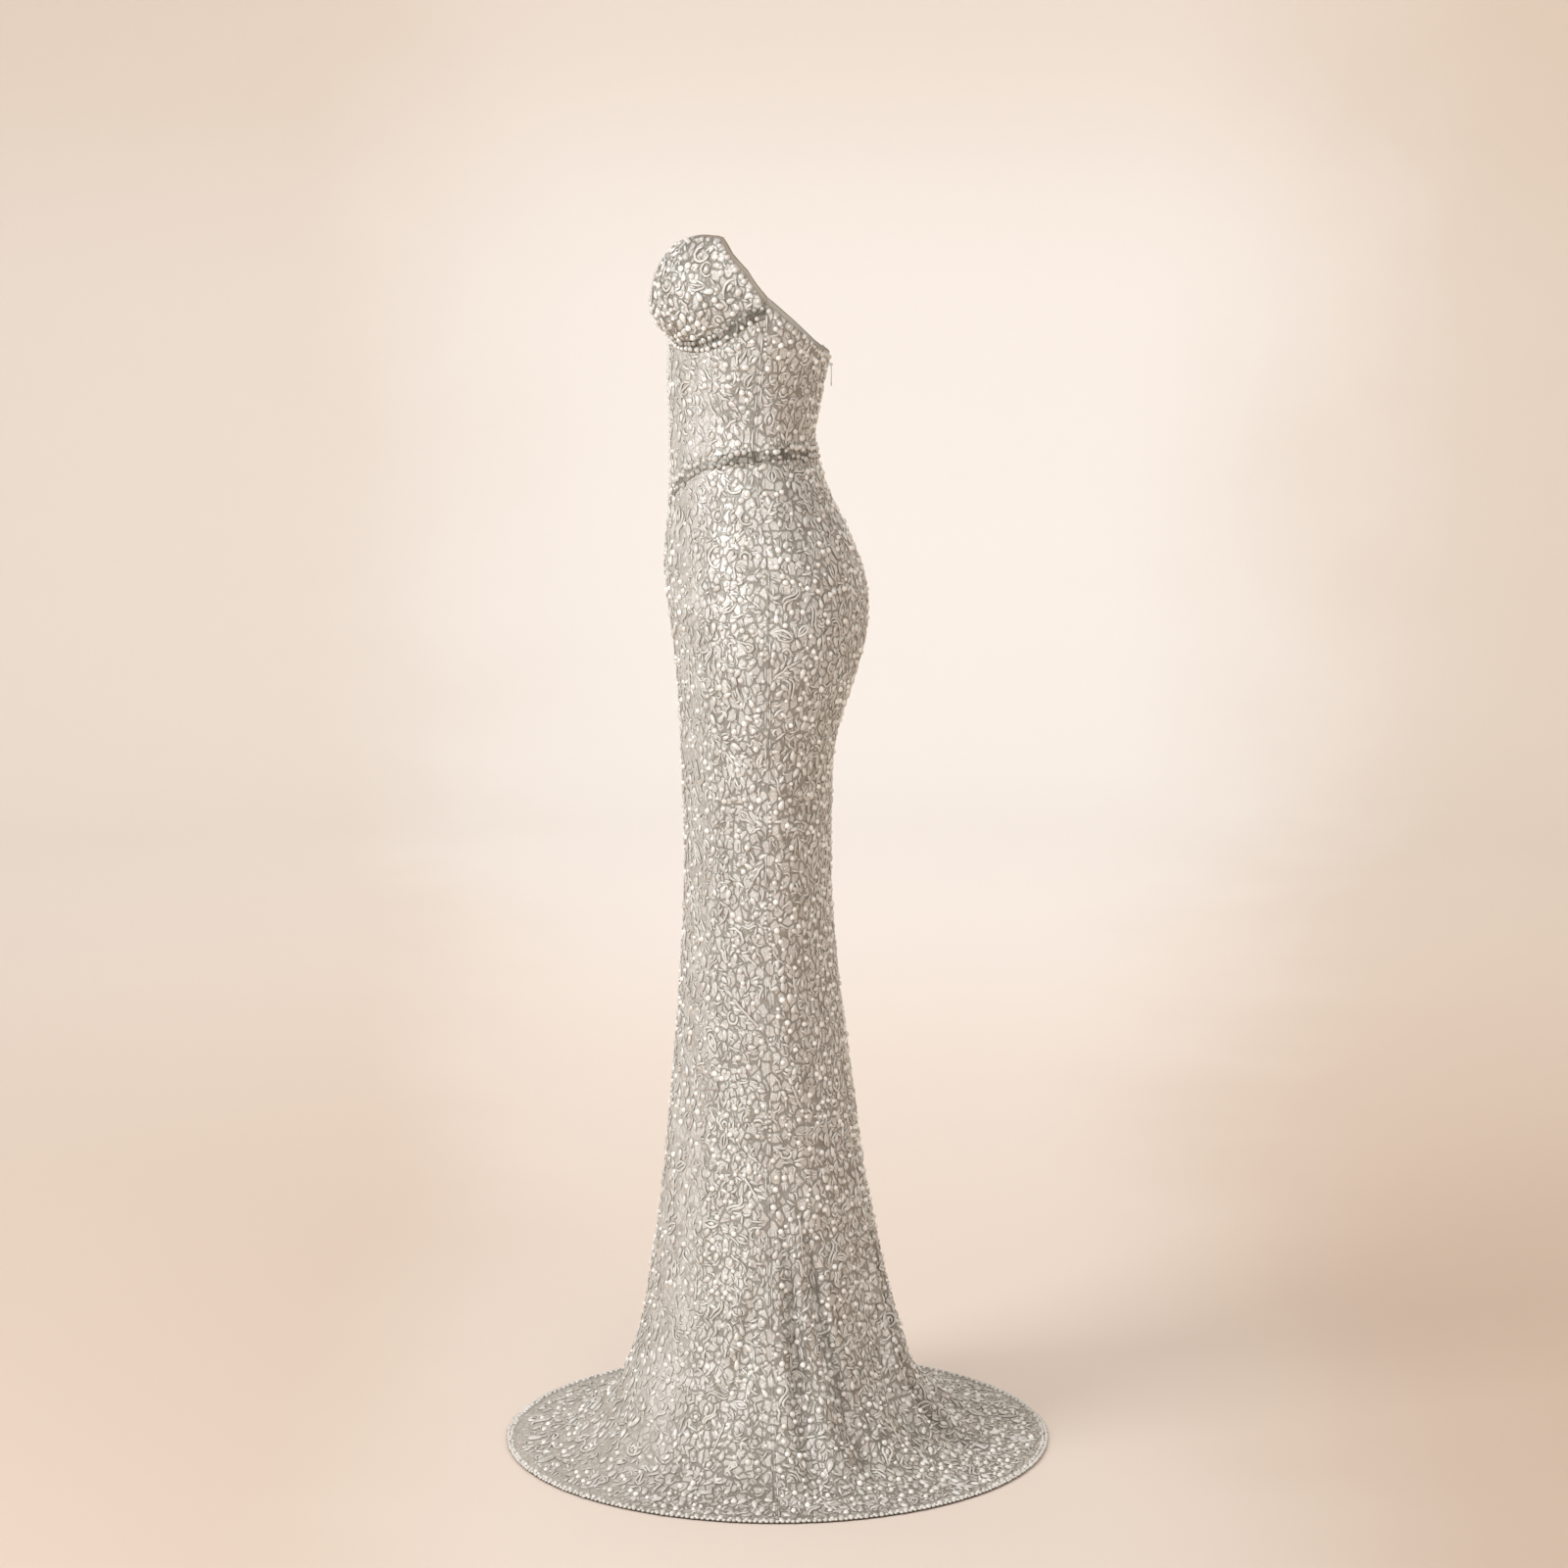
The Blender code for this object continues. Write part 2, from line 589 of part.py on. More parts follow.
def build_zip_pull(pivot, look):
    """The pull tab, hanging from its eye round the slider's pin. Its origin is on the pin's axis."""
    bm = bmesh.new()
    turn = Matrix.Rotation(math.pi / 2, 4, "Y")
    made = bmesh.ops.create_cone(
        bm, cap_ends=True, segments=14, radius1=EYE_RADIUS, radius2=EYE_RADIUS, depth=PULL_EYE_WIDE
    )
    bmesh.ops.transform(bm, matrix=turn, verts=made["verts"])
    pull = add_object("zip_pull", bm, look)
    pull.location = pivot
    tab = bmesh.new()
    outline = [(-x, z) for x, z in PULL_OUTLINE] + list(PULL_OUTLINE[::-1])
    rings = []
    for y in (-PULL_THICK / 2, PULL_THICK / 2):
        rings.append([tab.verts.new((x, y, -z)) for x, z in outline])
    join_rings(tab, rings)
    tab.faces.new(rings[0])
    tab.faces.new(rings[1][::-1])
    tab_helper = helper("tab", tab)
    tab_helper.location = pivot
    combine(pull, "UNION", tab_helper)
    combine(pull, "DIFFERENCE", rod("eye_bore", pivot, EYE_BORE_RADIUS, PULL_EYE_WIDE * 2))
    return pull


def main():
    for existing in list(bpy.data.objects):
        bpy.data.objects.remove(existing)
    cloth = ((0.60, 0.585, 0.56), 0.42, 0.25)
    cup_cloth = ((0.66, 0.645, 0.62), 0.38, 0.25)
    pearls = ((0.80, 0.785, 0.76), 0.25, 0.30)
    tape = ((0.42, 0.40, 0.375), 0.85, 0.0)
    metal = ((0.62, 0.61, 0.59), 0.30, 1.0)
    front, back = build_bodice(cloth, cup_cloth)
    skirt_back = build_skirt(cloth)
    build_seam_pearls(front, back, pearls)
    build_front_strip(front, pearls)
    build_hem_pearls(pearls)
    build_zip_tape(back, skirt_back, tape)
    pivot = build_zip_slider(back, metal)
    build_zip_pull(pivot, metal)


main()
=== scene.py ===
"""The looks of a strapless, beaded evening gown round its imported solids.

Metres, +Z up. The gown faces -Y, its left side is +X, and the origin is the centre of the waist. A turn is
the angle round the body in degrees: 0 is the centre front, 90 the left side, 180 the centre back. Heights in
the tables are above the floor that the hem lies on. A panel's u runs to the wearer's left and its v down.
"""

import math
import random

import bpy
import numpy as np
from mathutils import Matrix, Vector


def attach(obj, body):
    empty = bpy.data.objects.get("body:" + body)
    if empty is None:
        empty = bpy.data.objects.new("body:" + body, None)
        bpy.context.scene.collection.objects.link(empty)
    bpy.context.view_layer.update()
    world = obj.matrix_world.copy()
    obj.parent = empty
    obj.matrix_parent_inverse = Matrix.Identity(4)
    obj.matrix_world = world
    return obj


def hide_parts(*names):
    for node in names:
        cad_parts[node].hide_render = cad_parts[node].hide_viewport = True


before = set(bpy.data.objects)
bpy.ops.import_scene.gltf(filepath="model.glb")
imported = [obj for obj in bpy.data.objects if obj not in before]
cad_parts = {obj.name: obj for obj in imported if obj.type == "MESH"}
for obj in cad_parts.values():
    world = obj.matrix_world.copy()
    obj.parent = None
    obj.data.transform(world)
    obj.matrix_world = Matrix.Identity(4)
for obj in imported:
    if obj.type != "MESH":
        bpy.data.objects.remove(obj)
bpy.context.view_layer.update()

# The cut

SIDES = ("left", "right")
WAIST_HEIGHT = 1.170
CLOTH = 0.0014  # thickness of the shell cloth
SEAM_GAP = 0.0003
HEM_TOP = 0.0022  # height of the cloth's upper face where it lies on the floor

# Height, half width, reach to the front and the back, and how far back the widest place lies, in millimetres.
SECTIONS = np.array((
    (1400, 128, 57, 110, 26),
    (1360, 137, 66, 111, 26),
    (1320, 139, 74, 108, 26),
    (1280, 133, 81, 101, 24),
    (1240, 124, 83.5, 92, 20),
    (1200, 116, 82, 84, 16),
    (1170, 113, 81.5, 80, 13),
    (1140, 118.5, 81.5, 85, 16),
    (1100, 132, 82.5, 99, 20),
    (1060, 145.5, 87.5, 119, 24),
    (1015, 158, 89, 135.5, 27),
    (980, 165, 85, 140.5, 28),
    (940, 169, 79, 137, 28),
    (900, 167.5, 76, 126, 28),
    (855, 161.5, 72.5, 111.5, 28),
    (810, 154.5, 71, 102.5, 28),
    (740, 146, 68.5, 99, 28),
    (660, 140, 68, 99, 28),
    (570, 137, 72.5, 105.5, 28),
    (480, 139, 78.5, 116, 28),
    (400, 144, 85.5, 126.5, 28),
    (330, 150, 92, 135.5, 28),
    (270, 156, 99, 146, 29),
    (215, 164, 107.5, 155.5, 30),
    (165, 173, 115, 166, 31),
    (125, 182, 124, 176.5, 32),
    (93, 193, 135, 185, 33),
    (65, 207, 148, 198, 34),
    (40, 224, 165, 216, 35),
    (20, 245, 188, 241, 36),
    (8, 268, 218, 278, 37),
    (2.2, 293, 255, 331, 38),
    (2.2, 314.5, 276.5, 352.5, 38),
)) / 1000
SKIRT_SECTIONS = SECTIONS[9:]
SKIRT_TOP_ROWS, SKIRT_ROWS = 14, 140  # above the first of those sections, and below it
CUP_ROWS, BODICE_ROWS = 20, 24

# Edges and seams: a turn from the centre front, and the height there.
CUP_TOP = (
    (0, 1.345), (7, 1.350), (18, 1.368), (33, 1.387), (47, 1.393), (56, 1.392), (63, 1.389), (71, 1.366),
    (80, 1.342), (90, 1.321),
)
UNDERBUST_SEAM = (
    (0, 1.286), (18, 1.279), (36, 1.275), (50, 1.276), (60, 1.282), (68, 1.291), (76, 1.302), (83, 1.309),
    (90, 1.312),
)
BACK_TOP = ((90, 1.321), (110, 1.299), (140, 1.273), (180, 1.262))
WAIST_SEAM = ((0, 1.092), (11, 1.103), (31, 1.122), (50, 1.139), (68, 1.147), (90, 1.151), (180, 1.151))

CUP_APEX_HEIGHT, CUP_APEX_SIDE = 1.338, 0.072
CUP_SWELL = 0.0400
CUP_SWELL_WAY = Vector((0.22, -1.0, 0.0)).normalized()
CUP_REACH_UP, CUP_REACH_OUT = 0.078, 44.0  # metres, and degrees
CUP_UNDERSIDE_POWER = 3.0

# Turn at the floor, height where the fold begins, how far it stands out, half its width in degrees, and how
# many degrees it drifts on its way down.
FOLDS = (
    (35, 0.20, 0.004, 12, 2),
    (62, 0.24, 0.004, 11, -2),
    (93, 0.34, 0.004, 9, -2),
    (104, 0.36, -0.009, 6.5, 6),
    (113, 0.40, 0.007, 6.5, 9),
    (126, 0.44, -0.011, 7.5, 26),
    (139, 0.36, 0.004, 9, 10),
    (154, 0.44, 0.013, 9, 1),
    (163, 0.42, -0.014, 7, 1),
    (174, 0.38, 0.014, 9, -1),
    (189, 0.34, -0.010, 8, -2),
    (201, 0.42, 0.013, 10, -2),
    (213, 0.30, -0.006, 9, 0),
    (238, 0.30, 0.008, 9, -3),
    (248, 0.31, -0.009, 8, -1),
    (259, 0.28, 0.006, 9, 1),
    (288, 0.24, 0.005, 11, 2),
    (303, 0.22, -0.004, 9, 0),
    (325, 0.18, 0.004, 12, -1),
)
HEM_FLAT = 0.021  # width of the flat margin on the floor
FOLD_FLOOR_FADE = 0.070
FOLD_GROWTH = 1.2
HEM_CENTRE_Y = 0.038
HEM_RADIUS = SECTIONS[-1, 1]

# Soft creases finer than the folds: turn at the top, height of the top and bottom, depth (out if positive),
# half the width in degrees, and the lean in degrees from top to bottom.
CREASES = (
    (86, 0.32, 0.02, 0.0065, 6.0, -26),
    (93, 0.30, 0.04, -0.0030, 4.0, -22),
    (98, 0.32, 0.00, -0.0095, 5.6, 6),
    (107, 0.35, 0.00, -0.0095, 5.4, 19),
    (151, 0.42, -0.10, 0.0070, 3.2, 6),
    (158, 0.42, -0.10, -0.0120, 3.0, 7),
    (165, 0.42, -0.10, 0.0060, 3.0, 7),
    (133, 0.34, 0.02, 0.0035, 3.4, 16),
    (99, 0.40, 0.10, -0.0018, 4.0, 2),
    (127, 0.34, 0.06, 0.0022, 4.0, 3),
    (143, 0.52, 0.16, 0.0016, 5.0, 2),
    (148, 0.30, 0.04, -0.0024, 3.5, -2),
    (181, 0.60, 0.20, 0.0016, 5.0, 1),
    (207, 0.36, 0.05, -0.0022, 3.5, 2),
    (221, 0.46, 0.10, 0.0020, 5.0, -3),
    (229, 0.26, 0.03, -0.0022, 3.5, -1),
    (268, 0.33, 0.06, -0.0020, 4.0, 2),
    (279, 0.28, 0.05, 0.0018, 4.0, -2),
    (296, 0.22, 0.03, 0.0018, 4.0, 1),
    (313, 0.24, 0.04, -0.0018, 4.5, 2),
    (340, 0.20, 0.03, -0.0015, 5.0, -2),
    (12, 0.18, 0.03, 0.0015, 5.0, 2),
    (48, 0.22, 0.04, -0.0017, 4.5, -1),
    (73, 0.21, 0.03, 0.0018, 4.0, 2),
    (170, 0.86, 0.78, -0.0016, 11.0, 14),
    (188, 0.85, 0.77, -0.0016, 11.0, -14),
)


def curve(table, at):
    """The table's second value at these first values, on a smooth curve through its rows."""
    x, y = np.array(table, float).T
    slope = np.gradient(y, x)
    at = np.clip(at, x[0], x[-1])
    left = np.clip(np.searchsorted(x, at) - 1, 0, len(x) - 2)
    width = x[left + 1] - x[left]
    s = (at - x[left]) / width
    return (
        y[left] * (1 + 2 * s) * (1 - s) ** 2
        + slope[left] * width * s * (1 - s) ** 2
        + y[left + 1] * s**2 * (3 - 2 * s)
        + slope[left + 1] * width * s**2 * (s - 1)
    )


def smooth(low, high, at):
    share = np.clip((at - low) / (high - low), 0, 1)
    return share**2 * (3 - 2 * share)


def unit(vectors):
    return vectors / np.maximum(np.linalg.norm(vectors, axis=-1, keepdims=True), 1e-12)


def reached(points):
    """How far along its line each point lies."""
    return np.r_[0, np.cumsum(np.linalg.norm(np.diff(points, axis=0), axis=-1))]


def between_points(at, lengths, points):
    """Points in 3-D at these lengths along a line."""
    return np.stack([np.interp(at, lengths, points[:, k]) for k in range(3)], -1)


def from_front(turns):
    """Degrees from the centre front to each turn, whichever side it lies on."""
    return 180 - np.abs(np.abs(turns) % 360 - 180)


def section_at(heights):
    rising = SECTIONS[:-1][::-1]
    return [curve(rising[:, (0, k)], heights) for k in range(1, 5)]


def oval(turns, heights, section):
    half_width, front, back, widest = section
    angle = np.radians(turns)
    reach = np.where(np.cos(angle) > 0, front + widest, back - widest)
    x = half_width * np.sin(angle)
    y = widest - reach * np.cos(angle)
    return np.stack(np.broadcast_arrays(x, y, heights - WAIST_HEIGHT), axis=-1)


def ridge(turns, centre, half_width):
    """How high a soft ridge stands at these turns: 1 at its middle and 0 from its sides on."""
    away = (turns - centre + 180) % 360 - 180
    return np.cos(np.clip(away / half_width, -1, 1) * math.pi / 2) ** 2


def fold_offset(turns, heights, half_widths):
    """How far the skirt's folds and creases stand out from its plain form at each point."""
    total = np.zeros(np.broadcast(turns, heights).shape)
    for turn, start, depth, half_width, drift in FOLDS:
        grown = np.clip(1 - heights / start, 0, 1)
        total += depth * ridge(turns, turn - drift * (1 - grown), half_width) * grown**FOLD_GROWTH
    for turn, top, bottom, depth, half_width, lean in CREASES:
        share = (top - heights) / (top - bottom)
        grown = np.sin(np.clip(share, 0, 1) * math.pi) ** 2
        total += depth * ridge(turns, turn + lean * share, half_width) * grown
    return total * smooth(0, FOLD_FLOOR_FADE, HEM_RADIUS - HEM_FLAT - half_widths)


def rows_between(turns, top, bottom, rows):
    """Points on the sections in even rows from a top edge to a bottom one, and their heights."""
    heights = top + (bottom - top) * np.linspace(0, 1, rows + 1)[:, None]
    return oval(turns, heights, section_at(heights)), heights


def cup_form(turns):
    away = from_front(turns)
    bottom = curve(UNDERBUST_SEAM, away) + SEAM_GAP / 2
    points, heights = rows_between(turns, curve(CUP_TOP, away), bottom, CUP_ROWS)
    side = np.where(np.sin(np.radians(turns)) < 0, -1.0, 1.0)
    apex_turn = math.degrees(math.asin(CUP_APEX_SIDE / section_at(np.array(CUP_APEX_HEIGHT))[0]))
    reach = np.where(away < apex_turn, apex_turn, CUP_REACH_OUT)
    sideways = 1 - np.clip(np.abs(away - apex_turn) / reach, 0, 1) ** 2
    rise = heights - CUP_APEX_HEIGHT
    upward = 1 - (np.clip(rise, 0, None) / CUP_REACH_UP) ** 2
    downward = 1 - np.clip(rise / (bottom - CUP_APEX_HEIGHT), 0, 1) ** CUP_UNDERSIDE_POWER
    swell = CUP_SWELL * sideways * upward * downward
    way = np.stack(np.broadcast_arrays(CUP_SWELL_WAY.x * side, CUP_SWELL_WAY.y, 0.0), axis=-1)
    return points + swell[..., None] * way


def bodice_form(turns, top_edge, lower):
    away = from_front(turns)
    bottom = curve(WAIST_SEAM, away) + SEAM_GAP / 2
    return rows_between(turns, curve(top_edge, away) - lower, bottom, BODICE_ROWS)[0]


def bodice_front_form(turns):
    return bodice_form(turns, UNDERBUST_SEAM, SEAM_GAP / 2)


def bodice_back_form(turns):
    return bodice_form(turns, BACK_TOP, 0.0)


def skirt_form(turns):
    """The skirt from the waist seam down, with its folds and creases."""
    seam = curve(WAIST_SEAM, from_front(turns)) - SEAM_GAP / 2
    share = np.arange(SKIRT_TOP_ROWS)[:, None] / SKIRT_TOP_ROWS
    heights = seam + (SKIRT_SECTIONS[0, 0] - seam) * share
    upper = oval(turns, heights, section_at(heights))
    lengths = reached(SKIRT_SECTIONS[:, :2])
    at = np.linspace(0, lengths[-1], SKIRT_ROWS + 1)
    fine = [curve(np.stack((lengths, column), axis=1), at) for column in SKIRT_SECTIONS.T]
    fine[0] = np.maximum(fine[0], HEM_TOP)
    lower = np.array([oval(turns, row[0], row[1:]) for row in zip(*fine)])
    plain = np.concatenate((upper, lower))
    half_widths = np.r_[np.full(SKIRT_TOP_ROWS, SKIRT_SECTIONS[0, 1]), fine[1]][:, None]
    away = fold_offset(turns, plain[..., 2] + WAIST_HEIGHT, half_widths)
    around = plain - np.array((0.0, HEM_CENTRE_Y, 0.0))
    level = around * (1, 1, 0) / np.linalg.norm(around[..., :2], axis=-1, keepdims=True)
    down = np.gradient(plain, axis=0)
    slope = np.clip(np.abs(down[..., 2]) / np.linalg.norm(down, axis=-1), 0, 1)
    lean = level * slope[..., None] + np.array((0, 0, 1)) * np.sqrt(1 - slope**2)[..., None]
    points = plain + away[..., None] * lean
    points[..., 2] = np.maximum(points[..., 2], HEM_TOP - WAIST_HEIGHT)
    return points


# Mesh and objects


def mesh_object(name, points, faces, material_of_face=None, smooth_faces=True, values=None):
    """An object from a table of points and groups of faces, each group an array with the same corner count.
    values holds a number for each point under each attribute's name."""
    mesh = bpy.data.meshes.new(name)
    corners = [face for group in faces for face in group.tolist()]
    mesh.from_pydata(points.tolist(), [], corners, shade_flat=not smooth_faces)
    if material_of_face is not None:
        mesh.polygons.foreach_set("material_index", material_of_face.astype(np.int32))
    for key, numbers in (values or {}).items():
        mesh.attributes.new(key, "FLOAT", "POINT").data.foreach_set("value", np.asarray(numbers, np.float32))
    mesh.validate()
    made = bpy.data.objects.new(name, mesh)
    bpy.context.scene.collection.objects.link(made)
    return made


def dress(made, slot, *looks):
    """Gives a piece its materials and sets it on the gown; its slot is not used."""
    for look in looks:
        made.data.materials.append(LOOKS[look])
    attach(made, "gown")
    return made


def sheet_mesh(name, points, out, thick, slot, look, inner_look=None):
    """A closed sheet under a grid of outer points, rows down and columns to the left."""
    inner = points - out * thick
    inner[..., 2] = np.maximum(inner[..., 2], -WAIST_HEIGHT)
    index = np.arange(points[..., 0].size).reshape(points.shape[:2])
    front = np.stack((index[:-1, :-1], index[1:, :-1], index[1:, 1:], index[:-1, 1:]), -1).reshape(-1, 4)
    back = front[:, (0, 3, 2, 1)] + index.size
    rim = np.r_[index[0, :-1], index[:-1, -1], index[-1, :0:-1], index[:0:-1, 0]]
    after = np.roll(rim, -1)
    edge = np.stack((rim, after, after + index.size, rim + index.size), -1)
    both = np.concatenate((points.reshape(-1, 3), inner.reshape(-1, 3)))
    inside = np.r_[np.zeros(len(front)), np.ones(len(back) + len(edge))]
    values = {"busy": busy(*both.T), "hollow": hollow(*both.T)}
    made = mesh_object(name, both, (front, back, edge), inside, values=values)
    return dress(made, slot, look, inner_look or look)


CALM_FLANGE, CALM_HEIGHTS = 0.08, (0.006, 0.045)  # share left plain on the floor, and from where to where
CALM_FRONT, CALM_TURNS = 0.66, (46, 68)  # the same at the centre front
CUP_HEIGHTS = (1.262, 1.275)  # the front is calm below these
# pleat depths where the painted shade in the pleats begins and where it is full
PLEAT_SHADE_DEPTHS = (0.004, 0.018)


def busy(x, y, z):
    """How densely a place is beaded, from 0 to 1. It is less near the centre front and on the floor."""
    front = smooth(*CALM_TURNS, np.degrees(np.arctan2(np.abs(x), HEM_CENTRE_Y - y)))
    front = np.maximum(front, smooth(*CUP_HEIGHTS, z + WAIST_HEIGHT))
    flange = smooth(*CALM_HEIGHTS, z + WAIST_HEIGHT)
    return np.minimum(1 - CALM_FRONT * (1 - front), 1 - CALM_FLANGE * (1 - flange))


def hollow(x, y, z):
    """How deep in one of the skirt's pleats a place lies, from 0 to 1, for the painted shade there."""
    heights = z + WAIST_HEIGHT
    depth = -fold_offset(np.degrees(np.arctan2(x, HEM_CENTRE_Y - y)), heights, section_at(heights)[0])
    return smooth(*PLEAT_SHADE_DEPTHS, depth)


class Panel:
    """One cut panel: a fine grid of points on its outer face, rows down and columns to the wearer's left."""

    def __init__(self, name, points, out=None):
        if out is None:
            out = unit(np.cross(np.gradient(points, axis=0), np.gradient(points, axis=1)))
        self.name, self.points, self.out = name, points, out
        self.rows, self.columns = points.shape[0] - 1, points.shape[1] - 1

    @classmethod
    def cut(cls, name, form, first, last, columns, mirrored=False):
        """The panel between two turns, half a seam's gap narrower at each side."""
        points = form(np.linspace(first, last, columns + 1))
        if mirrored:
            points = (points * (-1, 1, 1))[:, ::-1]
        for edge, beside in ((0, 1), (-1, -2)):
            points[:, edge] += unit(points[:, beside] - points[:, edge]) * SEAM_GAP / 2
        return cls(name, points)

    def half(self, side):
        """The left or right half, as a panel of its own."""
        middle = self.columns // 2
        part = slice(middle, None) if side == "left" else slice(None, middle + 1)
        return Panel(self.name, self.points[:, part], self.out[:, part])

    def patch(self, u, v):
        column = np.clip(u.astype(int), 0, self.columns - 1)
        row = np.clip(v.astype(int), 0, self.rows - 1)
        return row, column, (u - column)[:, None], (v - row)[:, None]

    def at(self, u, v):
        """Points and outward directions at these places."""
        row, column, a, b = self.patch(u, v)
        found = []
        for grid in (self.points, self.out):
            upper = grid[row, column] * (1 - a) + grid[row, column + 1] * a
            lower = grid[row + 1, column] * (1 - a) + grid[row + 1, column + 1] * a
            found.append(upper * (1 - b) + lower * b)
        return found[0], unit(found[1])

    def ways(self, u, v):
        """Unit directions to the left and down in the cloth, and what a metre along them takes in u and v."""
        row, column, a, b = self.patch(u, v)
        first, next_one, below_first, below_next = (
            self.points[row + r, column + c] for r in (0, 1) for c in (0, 1)
        )
        along = (next_one - first) * (1 - b) + (below_next - below_first) * b
        down = (below_first - first) * (1 - a) + (below_next - next_one) * a
        out = self.at(u, v)[1]
        left = unit(along - out * np.sum(along * out, axis=-1, keepdims=True))
        below = np.cross(left, out)
        span, skew, fall = (np.sum(p * q, axis=-1) for p, q in ((along, left), (down, left), (down, below)))
        return left, below, (1 / span, -skew / (span * fall), 1 / fall)

    def beside(self, edge, at, distance):
        """Points and outward directions this far in from the top, bottom, first or last edge, and their u and
        v. at is where they lie along that edge."""
        level = edge in ("top", "bottom")
        end, way = (0, 1) if edge in ("top", "first") else (self.rows if level else self.columns, -1)
        ends = np.full(len(at), float(end))
        per_metre = self.ways(*((at, ends) if level else (ends, at)))[2][2 if level else 0]
        inward = end + way * distance * per_metre
        u, v = (at, inward) if level else (inward, at)
        return *self.at(u, v), u, v


# Bead shapes

# Each ring of a bead from its foot up: its width, its height and how light it is. The dark foot stands for
# the thread and is also painted shade round the bead's base.
PEARL_RINGS = ((1.26, 0.0, 0.0), (0.97, 0.34, 0.7), (0.62, 0.86, 1.0), (0.0001, 1.0, 1.0))
DROP_RINGS = ((1.24, 0.0, 0.0), (0.84, 0.66, 0.9), (0.0001, 1.0, 1.0))
STONE_RINGS = ((1.22, 0.0, 0.0), (1.0, 0.42, 0.8), (0.80, 0.80, 1.0), (0.42, 1.0, 0.9))
SEED_RINGS = ((1.22, 0.0, 0.0), (0.88, 0.55, 0.8), (0.0001, 1.0, 1.0))
DROP_POINT, POINT_NARROWING = 0.45, 0.75  # how far a drop's end is drawn out, and how much narrower it gets
CORD_SUNK = 0.0003  # how far the foot of a bead or cord sits in the cloth
CORD_UNEVEN, CORD_SWELLING = 0.16, 2.1  # how much a cord swells and thins, and how fast from point to point
CORD_END = 0.5  # how thick its ends are
CORD_TOP = 0.42  # a cord's flat top as a share of its width
TUBE_SIDES = 6


def turned_bead(sides, rings, point=0.0):
    """A bead's shape from its rings. A ring with no width is closed to a point, and point draws one end of
    the outline out for a drop."""
    bpy.ops.object.select_all(action="DESELECT")
    bpy.ops.mesh.primitive_circle_add(
        vertices=sides, radius=rings[0][0], fill_type="NGON", location=(0, 0, 0)
    )
    made = bpy.context.object
    bpy.ops.object.mode_set(mode="EDIT")
    bpy.ops.mesh.select_mode(type="FACE")
    bpy.ops.mesh.select_all(action="SELECT")
    for (width, height, _), (wider, higher, _) in zip(rings, rings[1:]):
        bpy.ops.mesh.extrude_region_move(TRANSFORM_OT_translate={"value": (0, 0, higher - height)})
        share = wider / width
        bpy.ops.transform.resize(value=(share, share, 1), center_override=(0, 0, higher))
    if rings[-1][0] < 0.05:
        bpy.ops.mesh.merge(type="CENTER")
    bpy.ops.mesh.select_all(action="SELECT")
    bpy.ops.mesh.normals_make_consistent(inside=False)
    bpy.ops.object.mode_set(mode="OBJECT")
    points = np.array([vertex.co for vertex in made.data.vertices])
    # how light each point is: dark at the foot, for the thread and as painted shade
    light = np.interp(points[:, 2], [ring[1] for ring in rings], [ring[2] for ring in rings])
    if point:
        tip = np.clip(points[:, 1], 0, None)
        points[:, 0] *= 1 - POINT_NARROWING * point * tip**2
        points[:, 1] += point * tip**2
    groups = {}
    for face in made.data.polygons:
        groups.setdefault(len(face.vertices), []).append(list(face.vertices))
    bpy.data.objects.remove(made)
    return points, [np.array(group) for group in groups.values()], light


def set_beads(name, shape, beads, slot, look, smooth_faces=True):
    """One mesh of all these beads: rows of place, across, along, out, half width and length, height, tone."""
    points, groups, light = shape
    table = np.array(beads)
    place, across, along, out = (table[:, None, k : k + 3] for k in (0, 3, 6, 9))
    local = points[None] * table[:, None, 12:15]
    made_points = place + local[..., :1] * across + local[..., 1:2] * along + local[..., 2:] * out
    step = (np.arange(len(table)) * len(points))[:, None, None]
    faces = [(group[None] + step).reshape(-1, group.shape[1]) for group in groups]
    values = {"lift": np.tile(light, len(table)), "tone": np.repeat(table[:, 15], len(points))}
    made = mesh_object(name, made_points.reshape(-1, 3), faces, smooth_faces=smooth_faces, values=values)
    return dress(made, slot, look)


def skinned(name, runs, closed=False, values=None):
    """One mesh of runs of rings of points, each skinned over, and capped at its ends unless it closes."""
    faces, caps, first = [], [], 0
    for rings in runs:
        index = first + np.arange(rings[..., 0].size).reshape(rings.shape[:2])
        here, ahead = (index, np.roll(index, -1, axis=0)) if closed else (index[:-1], index[1:])
        corners = (here, ahead, np.roll(ahead, -1, axis=1), np.roll(here, -1, axis=1))
        faces.append(np.stack(corners, -1).reshape(-1, 4))
        caps += [] if closed else [index[0], index[-1][::-1]]
        first += index.size
    groups = [np.concatenate(faces)] + ([np.array(caps)] if caps else [])
    return mesh_object(name, np.concatenate([rings.reshape(-1, 3) for rings in runs]), groups, values=values)


def set_cords(name, runs, slot, look):
    """One mesh of all these cords, flat on top with slopes that darken to the cloth, as couching thread and
    as painted shade along their feet. Each run is its places, outward directions, width, height and tone."""
    rings, tone, along = [], [], []
    for place, out, width, height, shade in runs:
        across = unit(np.cross(unit(np.gradient(place, axis=0)), out))
        taper = 1 + CORD_UNEVEN * np.sin(np.arange(len(place)) * CORD_SWELLING + shade * 40)
        taper[[0, -1]] *= CORD_END
        side = across * (width / 2 * taper)[:, None]
        foot, top = place - out * CORD_SUNK, place + out * (height * taper)[:, None]
        rings.append(np.stack((foot - side, top - side * CORD_TOP, top + side * CORD_TOP, foot + side), 1))
        tone.append(np.full(len(place) * 4, shade))
        along.append(np.repeat(reached(place), 4))
    tone, along = np.concatenate(tone), np.concatenate(along)
    # lift is 0 at the feet and 1 on top; the cord's look paints the feet dark, as thread and as painted shade
    values = {"lift": np.tile((0.0, 1.0, 1.0, 0.0), len(tone) // 4), "tone": tone, "along": along}
    return dress(skinned(name, rings, values=values), slot, look)


